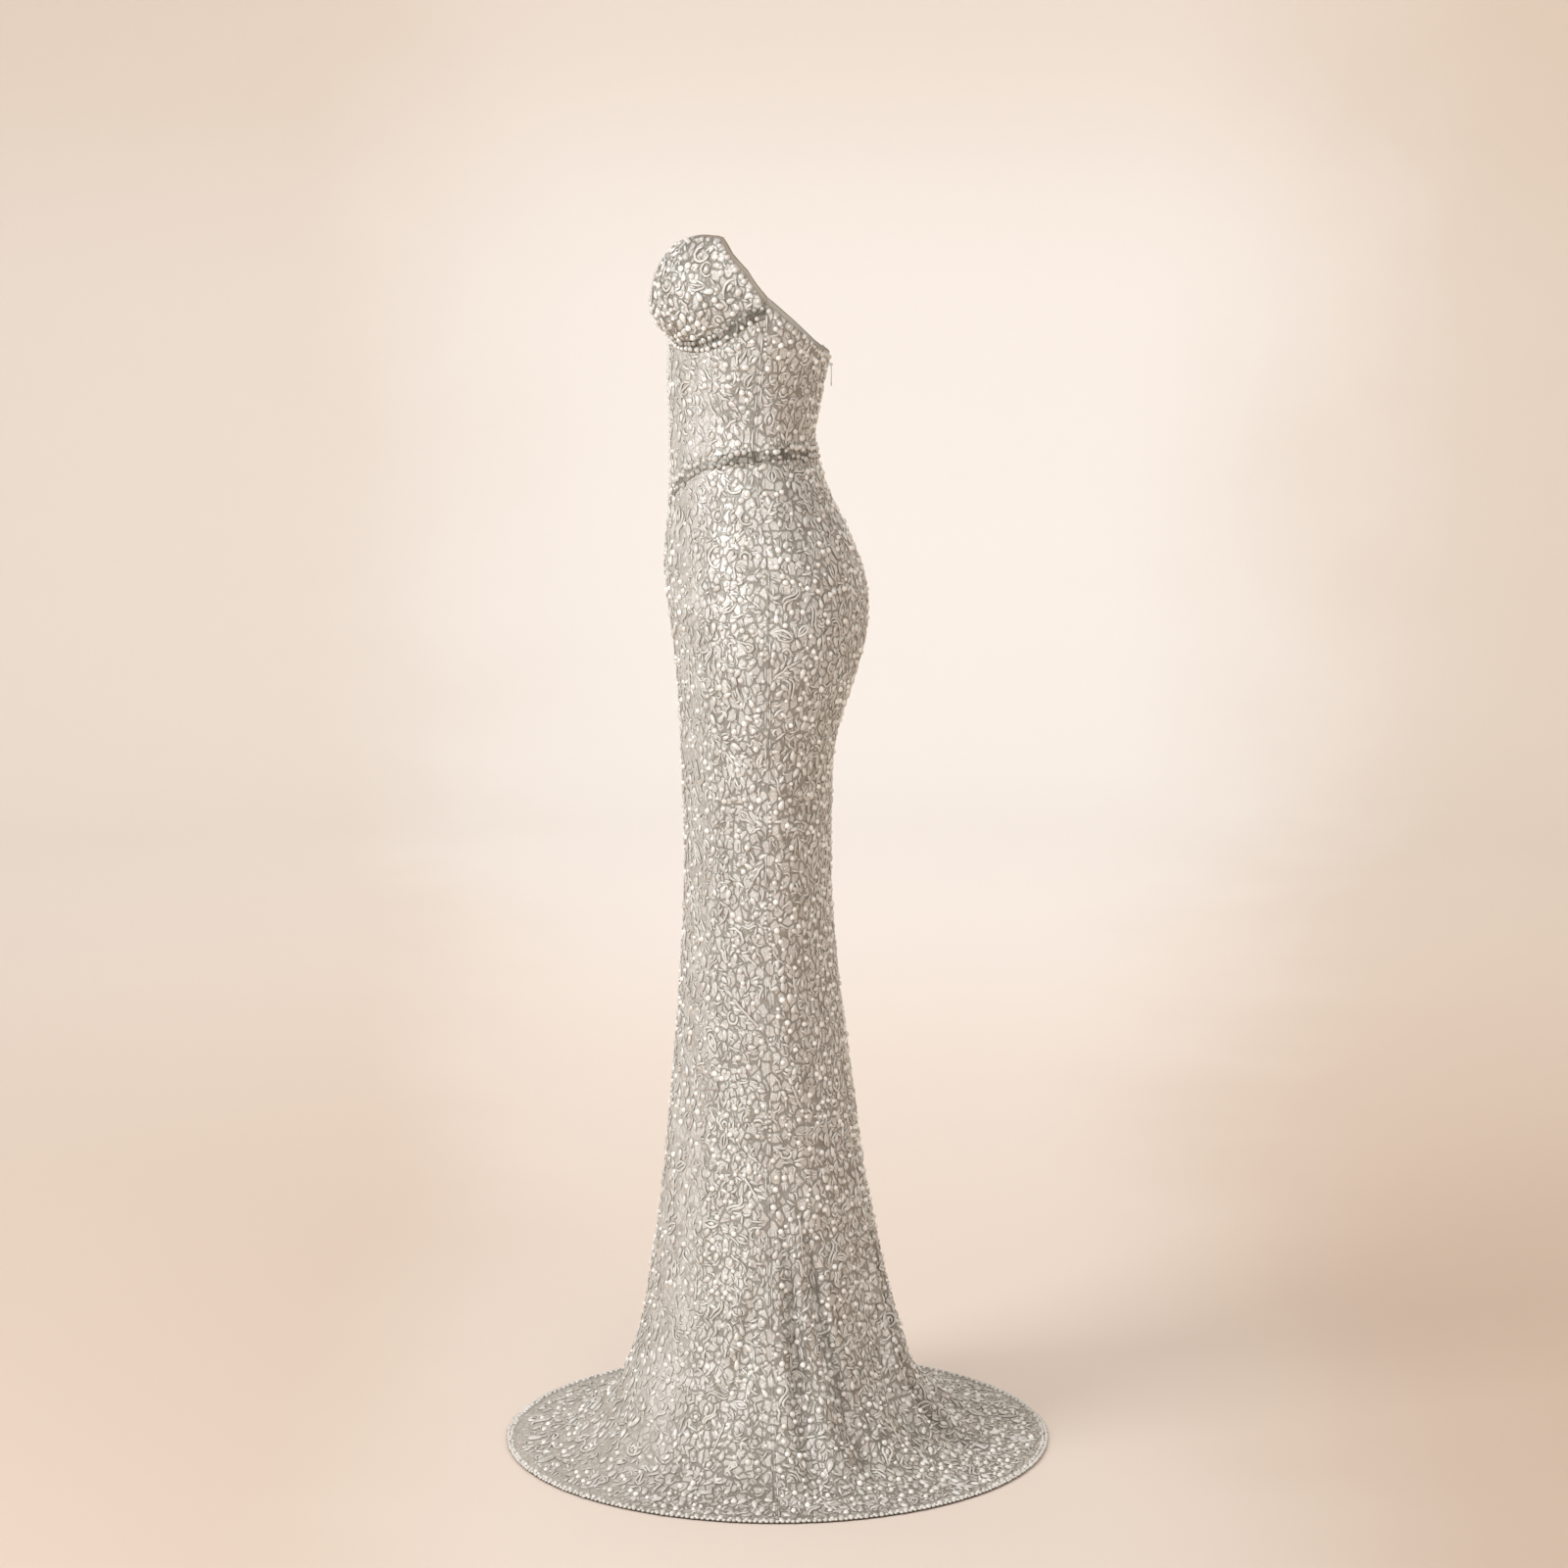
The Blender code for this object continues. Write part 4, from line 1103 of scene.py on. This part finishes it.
PANELS = {}
for part, form, first, columns in (
    ("cup", cup_form, 0, 26),
    ("bodice_front", bodice_front_form, 0, 24),
    ("bodice_back", bodice_back_form, 90, 24),
):
    for side in SIDES:
        name = f"{part}_{side}"
        PANELS[name] = Panel.cut(name, form, first, first + 90, columns, mirrored=side == "right")
for name, first, last, columns in (
    ("skirt_front", -90, 90, 144),
    ("skirt_back_left", 90, 180, 72),
    ("skirt_back_right", 180, 270, 72),
):
    PANELS[name] = Panel.cut(name, skirt_form, first, last, columns)

# How wide a strip is left free along the edges of a left or whole panel: top, bottom, first side, last side.
CLEAR_EDGES = {
    "cup": (0.0070, 0.0055, 0.0008, 0.0008),
    "bodice_front": (0.0090, 0.0080, 0.0045, 0.0038),
    "bodice_back": (0.0070, 0.0080, 0.0038, 0.0010),
    "skirt_front": (0.0060, 0.0140, 0.0024, 0.0024),
    "skirt_back": (0.0060, 0.0140, 0.0024, 0.0010),
}
SOLID_COLUMNS_PER_QUARTER, SOLID_CUP_ROWS, SOLID_BODICE_ROWS = 14, 9, 8
CUP_STONE_EVERY, BODICE_STONE_EVERY, SKIRT_STONE_EVERY = 5, 6, 9  # so many faces of the solid to a stone
FIRST_SEED = 100


def of_kind(table, name):
    """The row for a panel's kind, whichever side it is on."""
    return next(row for kind, row in table.items() if name.startswith(kind))


def large_stone_places(panel, rows, every):
    """The middles of the solid panel's faces that carry a stone. rows are its rows on the fine grid."""
    columns = SOLID_COLUMNS_PER_QUARTER * (2 if panel.name == "skirt_front" else 1)
    mirrored = panel.name.endswith("right") and "skirt" not in panel.name
    places = []
    for r in range(1, len(rows) - 2):
        for c in range(1, columns - 1):
            if (3 * r + c) % every == 0:
                share = (columns - c - 0.5 if mirrored else c + 0.5) / columns
                places.append((share * panel.columns, (rows[r] + rows[r + 1]) / 2))
    return places


def skirt_rows():
    """Where the solid skirt's rows lie on the fine grid: the seam, then each section."""
    lengths = reached(SKIRT_SECTIONS[:, :2])
    return np.r_[0, SKIRT_TOP_ROWS + lengths / lengths[-1] * SKIRT_ROWS]


def bead_panel(number, panel):
    top, bottom, first, last = of_kind(CLEAR_EDGES, panel.name)
    sides = (last, first) if panel.name.endswith("right") else (first, last)
    work = Beadwork(panel, FIRST_SEED + number, (top, bottom, *sides))
    if "cup" in panel.name:
        rows = np.linspace(0, panel.rows, SOLID_CUP_ROWS)
        work.set_large_stones(large_stone_places(panel, rows, CUP_STONE_EVERY), 0.0034, 0.0048)
        work.fill("pearl", 2600, 0.0028, 0.0036)
        work.set_motifs(ON_CUPS, 16000)
        work.fill("drop", 20000, 0.0027, 0.0038, 1.3, 60)
        work.fill("oval", 12000, 0.0026, 0.0034, 1.25, 60)
        work.set_small_cords(12000)
        work.fill("seed", 8000, 0.0016, 0.0022)
    else:
        rows, every = np.linspace(0, panel.rows, SOLID_BODICE_ROWS), BODICE_STONE_EVERY
        if "skirt" in panel.name:
            rows, every = skirt_rows(), SKIRT_STONE_EVERY
        work.set_large_stones(large_stone_places(panel, rows, every), 0.0031, 0.0043)
        work.fill("pearl", 1500, 0.0028, 0.0035)
        work.set_sprigs(SPRIGS_APART)
        work.set_motifs(ON_CLOTH, 6000)
        work.fill("pearl", 1100, 0.0023, 0.0030)
        work.fill("drop", 6000, 0.0025, 0.0036, 1.45)
        work.set_small_cords(18000)
        work.fill("seed", 2500, 0.0015, 0.0021)
    work.build()


# The trims

BAND_THICK = 0.0006
FRONT_STRIP_FREE, ZIP_FREE, SIDE_FREE = 0.0065, 0.0060, 0.001  # from there to the nearest seam pearl
# Rows of pearls along the panels' edges: distance in from the edge, pitch, where the first one lies as a
# share of the pitch, half width, seed, lift, and how far their places and their sizes stray.
EDGE_ROWS = {
    "cup_foot": (0.0034, 0.0088, 0.95, 0.0028, 12, BAND_THICK, 0.0014, 0.26),
    "bodice_top": (0.0060, 0.0100, 0.5, 0.0027, 11, BAND_THICK, 0.0009, 0.16),
    "bodice_foot": (0.0060, 0.0082, 0.5, 0.0029, 13, BAND_THICK, 0.0018, 0.28),
    "skirt_top": (0.0030, 0.0094, 0.95, 0.0027, 14, BAND_THICK, 0.0016, 0.28),
    "above_band": (0.0112, 0.0115, 0.7, 0.0025, 17, 0.0, 0.0024, 0.25),
    "cup_edge": (0.0045, 0.0086, 0.5, 0.0027, 21, 0.0, 0.0012, 0.24),
    "back_edge": (0.0045, 0.0092, 0.5, 0.0024, 22, 0.0, 0.0012, 0.24),
}
STRIP_HALF_WIDTH, STRIP_PITCH = 0.0050, 0.0075
HEM_PEARL_RADIUS, HEM_PEARL_COUNT = 0.3113, 206
HEM_SEED_RADIUS, HEM_SEED_COUNT = 0.3150, 336
# radius of the hem's binding, a near-black tube that is painted shadow under the hem's edge, and of the top's
# binding
HEM_SHADOW_BINDING, TOP_BINDING = 0.0011, 0.0008
PEARL_HEIGHT = 1.3  # in half widths
BAND_GAP = 0.0002  # from the seam's middle to each half of what covers it
SIDE_ROW_IN, BUGLE_WIDTH, BUGLE_HEIGHT, BUGLE_GAP = 0.0022, 0.0030, 0.0018, 0.0025
SIDE_PEARL_IN, SIDE_PEARL_PITCH, SIDE_PEARL = 0.0024, 0.0056, 0.0020
SIDE_RUNS = {  # longest and shortest, the share left bare, and the share of the rest that is bugles
    "skirt": (0.020, 0.008, 0.55, 0.72),
    "bodice": (0.030, 0.012, 0.40, 0.92),
}
TAPE_HALF_WIDTH, TAPE_THICK, TAPE_DEEP, TAPE_END = 0.0085, 0.0008, 0.0018, 0.940
COVER_THICK, COVER_LIFT, COVER_HALF_WIDTH = 0.0005, 0.0003, 0.0016


def sew_pearls(name, rows, look, node=None, shape="large_pearl"):
    """A trim of pearls, which takes the place of the solid's own where node names it."""
    made = set_beads(name, BEADS[shape], rows, "pearls", look)
    if node:
        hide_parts(node)


def edge_places(panel, edge, distance, pitch, start, skip):
    """Evenly pitched places this far in from a panel's top or bottom edge, with their directions."""
    place, _, u, v = panel.beside(edge, np.linspace(0, panel.columns, 300), distance)
    lengths = reached(place)
    spots = np.arange(skip[0] + pitch * start, lengths[-1] - skip[1] - pitch * 0.3, pitch)
    u, v = np.interp(spots, lengths, u), np.interp(spots, lengths, v)
    return *panel.at(u, v), *panel.ways(u, v)[:2]


def pearls_at(places, half_width, seed, lift=0.0, stray=0.0003, spread=0.08):
    """Rows for set_beads: round pearls at these places, each a little off them and off its size."""
    draw = random.Random(seed)
    rows = []
    for place, out, left, below in zip(*places):
        size = half_width * draw.uniform(1 - spread, 1 + spread)
        foot = place + out * (lift - CORD_SUNK) + left * draw.gauss(0, stray) + below * draw.gauss(0, stray)
        rows.append((*foot, *left, *below, *out, size, size, size * PEARL_HEIGHT, draw.random() * 0.6))
    return rows


def edge_row(kind, panel, edge, skip=(0.0, 0.0)):
    """Rows for set_beads along a panel's top or bottom edge. skip is left free at its two ends."""
    distance, pitch, start, *pearls = EDGE_ROWS[kind]
    return pearls_at(edge_places(panel, edge, distance, pitch, start, skip), *pearls)


def seam_grid(sides, lift):
    """Points and outward directions along a seam. Each side of it is a panel, its edge, the places along that
    edge, and the distances from it. Seams down the gown are given rows down, as sheet_mesh takes them."""
    lines = [panel.beside(edge, at, far)[:2] for panel, edge, at, distances in sides for far in distances]
    points, outs = (np.array(grid) for grid in zip(*lines))
    grids = points + outs * lift, outs
    return grids if sides[0][1] == "bottom" else [grid.swapaxes(0, 1) for grid in grids]


def seam_band(name, upper, lower, above, below, slot):
    """A dark band sewn over the seam between two panels."""
    share = np.linspace(0, 1, 49)
    sides = (
        (upper, "bottom", share * upper.columns, (above, above / 2, BAND_GAP)),
        (lower, "top", share * lower.columns, (BAND_GAP, below / 2, below)),
    )
    sheet_mesh(name, *seam_grid(sides, BAND_THICK), BAND_THICK, slot, "seam_band")


def underbust(side):
    cup, front = PANELS[f"cup_{side}"], PANELS[f"bodice_front_{side}"]
    skip = (FRONT_STRIP_FREE, 2 * SIDE_FREE) if side == "left" else (2 * SIDE_FREE, FRONT_STRIP_FREE)
    seam_band(f"underbust_band_{side}", cup, front, 0.0050, 0.0090, "cup_cloth")
    dull, rows = edge_row("cup_foot", cup, "bottom", skip), edge_row("bodice_top", front, "top", skip)
    sew_pearls(f"underbust_dull_beads_{side}", dull, "dull_bead")
    sew_pearls(f"underbust_pearl_rows_{side}", rows, "trim_pearl", f"underbust_pearls_{side}")


def waist(side):
    rows, dull = [], []
    front_skirt, back_skirt = PANELS["skirt_front"].half(side), PANELS[f"skirt_back_{side}"]
    for part, skirt, free in (("front", front_skirt, FRONT_STRIP_FREE), ("back", back_skirt, ZIP_FREE)):
        bodice = PANELS[f"bodice_{part}_{side}"]
        skip = (free, SIDE_FREE) if (side == "left") == (part == "front") else (SIDE_FREE, free)
        seam_band(f"waist_band_{part}_{side}", bodice, skirt, 0.0075, 0.0050, "beaded_cloth")
        rows += edge_row("bodice_foot", bodice, "bottom", skip)
        dull += edge_row("skirt_top", skirt, "top", skip)
        dull += edge_row("above_band", bodice, "bottom", skip)
    sew_pearls(f"waist_dull_beads_{side}", dull, "dull_bead")
    sew_pearls(f"waist_pearl_rows_{side}", rows, "trim_pearl", f"waist_pearls_{side}")


def front_strip():
    """The strip of pearls over the centre-front seam, on a narrow band."""
    left, right = PANELS["bodice_front_left"], PANELS["bodice_front_right"]
    v = np.linspace(0.3, left.rows - 0.3, 60)
    distances = (STRIP_HALF_WIDTH, STRIP_HALF_WIDTH / 2, 0.0)
    sides = (right, "last", v, distances), (left, "first", v, distances[::-1])
    points, outs = seam_grid(sides, BAND_THICK)
    sheet_mesh("front_band", points, outs, BAND_THICK, "beaded_cloth", "seam_band")
    middle = (points[:, 2] + points[:, 3]) / 2
    lengths = reached(middle)
    spots = np.arange(0.004, lengths[-1] - 0.002, STRIP_PITCH)
    place = between_points(spots, lengths, middle)
    out = unit(between_points(spots, lengths, outs[:, 3]) * (0, 1, 1))
    across = np.tile((1.0, 0.0, 0.0), (len(spots), 1))
    rows = pearls_at((place, out, across, np.cross(across, out)), 0.0024, 15)
    sew_pearls("front_pearl_row", rows, "seed_bead", "front_bead_strip")


def hem():
    """Pearls and seed beads round the hem, and its bound edge, near-black as painted shadow under the edge.
    """
    centre = np.array((0, HEM_CENTRE_Y, HEM_TOP - WAIST_HEIGHT))

    def ring(count, radius):
        angle = np.linspace(0, 2 * math.pi, count, endpoint=False)
        outward = np.stack((np.sin(angle), -np.cos(angle), 0 * angle), -1)
        up = np.tile((0.0, 0.0, 1.0), (count, 1))
        return centre + outward * radius, up, np.cross(outward, up), outward

    rows = pearls_at(ring(HEM_PEARL_COUNT, HEM_PEARL_RADIUS), 0.0026, 16, stray=0.0008, spread=0.20)
    sew_pearls("hem_pearl_row", rows, "hem_bead", "hem_pearls")
    rows = pearls_at(ring(HEM_SEED_COUNT, HEM_SEED_RADIUS), 0.0022, 18, spread=0.16)
    sew_pearls("hem_seed_row", rows, "hem_bead", shape="seed")
    # painted shadow: a near-black binding just outside the hem's edge
    edge, up, _, _ = ring(240, HEM_RADIUS + 0.0002)
    paths = [(edge - up * HEM_SHADOW_BINDING, up)]
    set_tubes("hem_binding", paths, HEM_SHADOW_BINDING, "beaded_cloth", "hem_binding", closed=True)


def top_edge():
    """The binding along the gown's top edge, and the row of pearls below it."""
    paths, rows = [], []
    for side in SIDES:
        for part, kind in (("cup", "cup_edge"), ("bodice_back", "back_edge")):
            panel = PANELS[f"{part}_{side}"]
            paths.append((panel.points[0] - panel.out[0] * CLOTH / 2, panel.out[0]))
            rows += edge_row(kind, panel, "top")
    set_tubes("top_binding", paths, TOP_BINDING, "cup_cloth", "edge_binding")
    sew_pearls("top_pearl_row", rows, "hem_bead")


def side_seams():
    """A strip of cloth over each side seam, then bugles and small pearls in lines down both sides of it."""
    for first, second in (
        ("bodice_front_left", "bodice_back_left"), ("bodice_back_right", "bodice_front_right"),
        ("skirt_front", "skirt_back_left"), ("skirt_back_right", "skirt_front"),
    ):
        bottom = PANELS[first].rows - 0.1
        v = np.linspace(0.1, bottom, int((bottom - 0.1) * 2))
        distances = (COVER_HALF_WIDTH, BAND_GAP)
        sides = (PANELS[first], "last", v, distances), (PANELS[second], "first", v, distances[::-1])
        grids = seam_grid(sides, COVER_LIFT)
        sheet_mesh(f"{first}_seam", *grids, COVER_THICK, "beaded_cloth", "beaded_ground")
    draw = random.Random(31)
    cords, pearls = [], []
    for name, edge in (
        ("bodice_front_left", "last"), ("bodice_back_left", "first"), ("bodice_front_right", "first"),
        ("bodice_back_right", "last"), ("skirt_front", "first"), ("skirt_front", "last"),
        ("skirt_back_left", "first"), ("skirt_back_right", "last"),
    ):
        panel, skirt = PANELS[name], "skirt" in name
        longest, shortest, bare, corded = of_kind(SIDE_RUNS, name)
        v = np.linspace(0.5, panel.rows - (1.6 if skirt else 0.5), 700)
        place, out, _, _ = panel.beside(edge, v, SIDE_ROW_IN)
        lengths = reached(place)
        at = 0.008
        while at < lengths[-1] - 0.012:
            long = draw.uniform(shortest, longest)
            if draw.random() >= bare:
                if draw.random() < corded:
                    spots = np.linspace(at, min(at + long, lengths[-1] - 0.004), max(3, int(long / 0.005)))
                    run, up = (between_points(spots, lengths, line) for line in (place, out))
                    cords.append((run, unit(up), BUGLE_WIDTH, BUGLE_HEIGHT, draw.random()))
                else:
                    v_spots = np.interp(np.arange(at, at + long, SIDE_PEARL_PITCH), lengths, v)
                    found, ups, u, _ = panel.beside(edge, v_spots, SIDE_PEARL_IN)
                    places = found, ups, *panel.ways(u, v_spots)[:2]
                    pearls += pearls_at(places, SIDE_PEARL, draw.randrange(999))
            at += long + BUGLE_GAP
    set_cords("side_seam_bugles", cords, "beaded_cloth", "silver_cord")
    sew_pearls("side_seam_pearls", pearls, "hem_bead", shape="pearl")


def zip_tape():
    """The zip's tape behind the closed back seam, down to its end on the skirt."""
    grids = []
    distances = (TAPE_HALF_WIDTH, TAPE_HALF_WIDTH / 2, 0.0)
    for part, start in (("bodice", 0.4), ("skirt", 0.0)):
        left, right = PANELS[f"{part}_back_left"], PANELS[f"{part}_back_right"]
        heights = left.points[:, -1, 2] + WAIST_HEIGHT
        end = min(np.interp(-TAPE_END, -heights, np.arange(left.rows + 1.0)), left.rows)
        v = np.linspace(start, end, 30)
        sides = (left, "last", v, distances), (right, "first", v, distances[::-1])
        grids.append(seam_grid(sides, -TAPE_DEEP))
    points, outs = (np.concatenate(pair) for pair in zip(*grids))
    tape = sheet_mesh("zip_tape_cloth", points, outs, TAPE_THICK, "zip_tape", "zip_tape_weave")
    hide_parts("zip_tape")


# Stage and light

CAMERA_PLACE, CAMERA_TILT, CAMERA_LENS = (4.371, 0.0458, 0.250), 8.442, 88.61
# the floor's colour near the middle, which is painted shade; the paper's own colour further out; and the
# painted shade up the wall and at its sides
FLOOR_PAINTED_SHADE, WALL_LIGHT, PAPER_PAINTED_SHADE = (0.73, 0.63, 0.555, 1), (0.88, 0.85, 0.825, 1), (0.74, 0.635, 0.525, 1)


def camera():
    made = bpy.data.objects.new("camera", bpy.data.cameras.new("camera"))
    bpy.context.scene.collection.objects.link(made)
    made.data.sensor_width, made.data.lens = 36.0, CAMERA_LENS
    made.location = CAMERA_PLACE
    made.rotation_euler = (math.radians(90 - CAMERA_TILT), 0, math.radians(90))
    bpy.context.scene.camera = made


def area_light(name, place, target, size, power, colour):
    light = bpy.data.lights.new(name, "AREA")
    light.shape, light.size, light.size_y = "RECTANGLE", size[0], size[1]
    light.energy, light.color = power, colour
    made = bpy.data.objects.new(name, light)
    made.location = place
    made.rotation_euler = (Vector(target) - Vector(place)).to_track_quat("-Z", "Y").to_euler()
    made.visible_camera = False
    bpy.context.scene.collection.objects.link(made)


def paper_look():
    """Pale paper with painted shade: a little darker and warmer up the wall, towards its sides and towards
    +Y, and on the floor near the middle.
    """
    look = Look("studio_paper")
    x, y, z = (look.axis(k) for k in range(3))
    away = look.math("SQRT", x * x + y * y)
    reach = look.math("SQRT", away * away * 0.12 + 1)
    aside = look.math("DIVIDE", y, reach) + look.noise(1.3, 3.0) * 0.24 - 0.25
    # painted shade: darker towards the sides, towards +Y and up the wall
    sides = look.ramp(aside * aside, 0.06, 0.46) * 0.42
    right = look.ramp(aside, 0.26, 0.86) * 0.45
    top = look.ramp(z, 0.0, 0.9) * 0.42
    edge = 1 - (1 - sides) * (1 - right) * (1 - top)
    # painted shade: darker and warmer on the floor near the middle
    colour = look.mix(look.ramp(away, 0.6, 5.2), FLOOR_PAINTED_SHADE, WALL_LIGHT)
    return look.finish(Base_Color=look.mix(edge, colour, PAPER_PAINTED_SHADE, "MULTIPLY"), Roughness=0.95)


def stage():
    """A round studio: a pale floor that curves up into a pale wall."""
    columns, floor, flat, bend, height = 72, -WAIST_HEIGHT, 4.6, 1.6, 4.6
    profile = [(0.001, floor), (2.2, floor), (flat, floor)]
    rising = np.linspace(0.2, math.pi / 2, 8)
    profile += [(flat + bend * math.sin(a), floor + bend * (1 - math.cos(a))) for a in rising]
    profile += [(flat + bend, floor + height)]
    turn = np.linspace(0, 2 * math.pi, columns, endpoint=False)
    points = np.array([(r * math.cos(t), r * math.sin(t), z) for r, z in profile for t in turn])
    index = np.arange(len(points)).reshape(len(profile), columns)
    after = np.roll(index, -1, axis=1)
    faces = np.stack((index[1:], after[1:], after[:-1], index[:-1]), -1).reshape(-1, 4)
    made = mesh_object("studio", points, (faces,))
    made.data.materials.append(paper_look())


def lights():
    world = bpy.data.worlds.new("studio_air")
    world.use_nodes = True
    air = world.node_tree.nodes["Background"].inputs
    air["Color"].default_value, air["Strength"].default_value = (1.0, 0.982, 0.955, 1), 0.82
    bpy.context.scene.world = world
    bpy.context.scene.view_settings.view_transform = "Standard"
    area_light("key", (1.8, -2.6, 1.0), (0, 0, -0.05), (1.7, 1.7), 85, (0.935, 0.975, 1.0))
    area_light("fill", (3.4, 1.4, 0.3), (0, 0, -0.2), (2.4, 2.4), 38, (1.0, 0.96, 0.92))
    area_light("backdrop", (-1.8, 0.2, 2.7), (-5.7, 0.1, -0.9), (3.2, 1.4), 66, (1.0, 0.975, 0.965))


# What each panel was cut to before it was shaped and sewn: width, length and area, how it is held, and what
# it rests on.
CUTS = {
    "cup": (0.250, 0.140, 0.0209, "stretched", "bodice_front"),
    "bodice_front": (0.202, 0.196, 0.0271, "stretched", None),
    "bodice_back": (0.184, 0.174, 0.0197, "stretched", None),
    "skirt_front": (0.990, 1.240, 0.566, "hung", "bodice_front"),
    "skirt_back": (0.496, 1.300, 0.285, "hung", "bodice_back"),
}


def cut_sheets():
    """Looks up each panel's cut and its cloth, and does nothing more with them."""
    for name in PANELS:
        width, length, area, held, under = of_kind(CUTS, name)
        sides = [side for side in SIDES if under and (name.endswith(side) or name == "skirt_front")]
        cloth = bpy.data.objects[name + "_cloth"]


camera()
stage()
lights()
for number, panel in enumerate(PANELS.values()):
    slot, ground = ("cup_cloth", "cup_ground") if "cup" in panel.name else ("beaded_cloth", "beaded_ground")
    cloth = sheet_mesh(panel.name + "_cloth", panel.points, panel.out, CLOTH, slot, ground, "plain_inside")
    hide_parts(panel.name)
    bead_panel(number, panel)
for side in SIDES:
    underbust(side)
    waist(side)
front_strip()
hem()
top_edge()
side_seams()
zip_tape()
cut_sheets()
for name in ("zip_slider", "zip_pull"):
    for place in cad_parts[name].material_slots:
        place.material = LOOKS["zip_metal"]
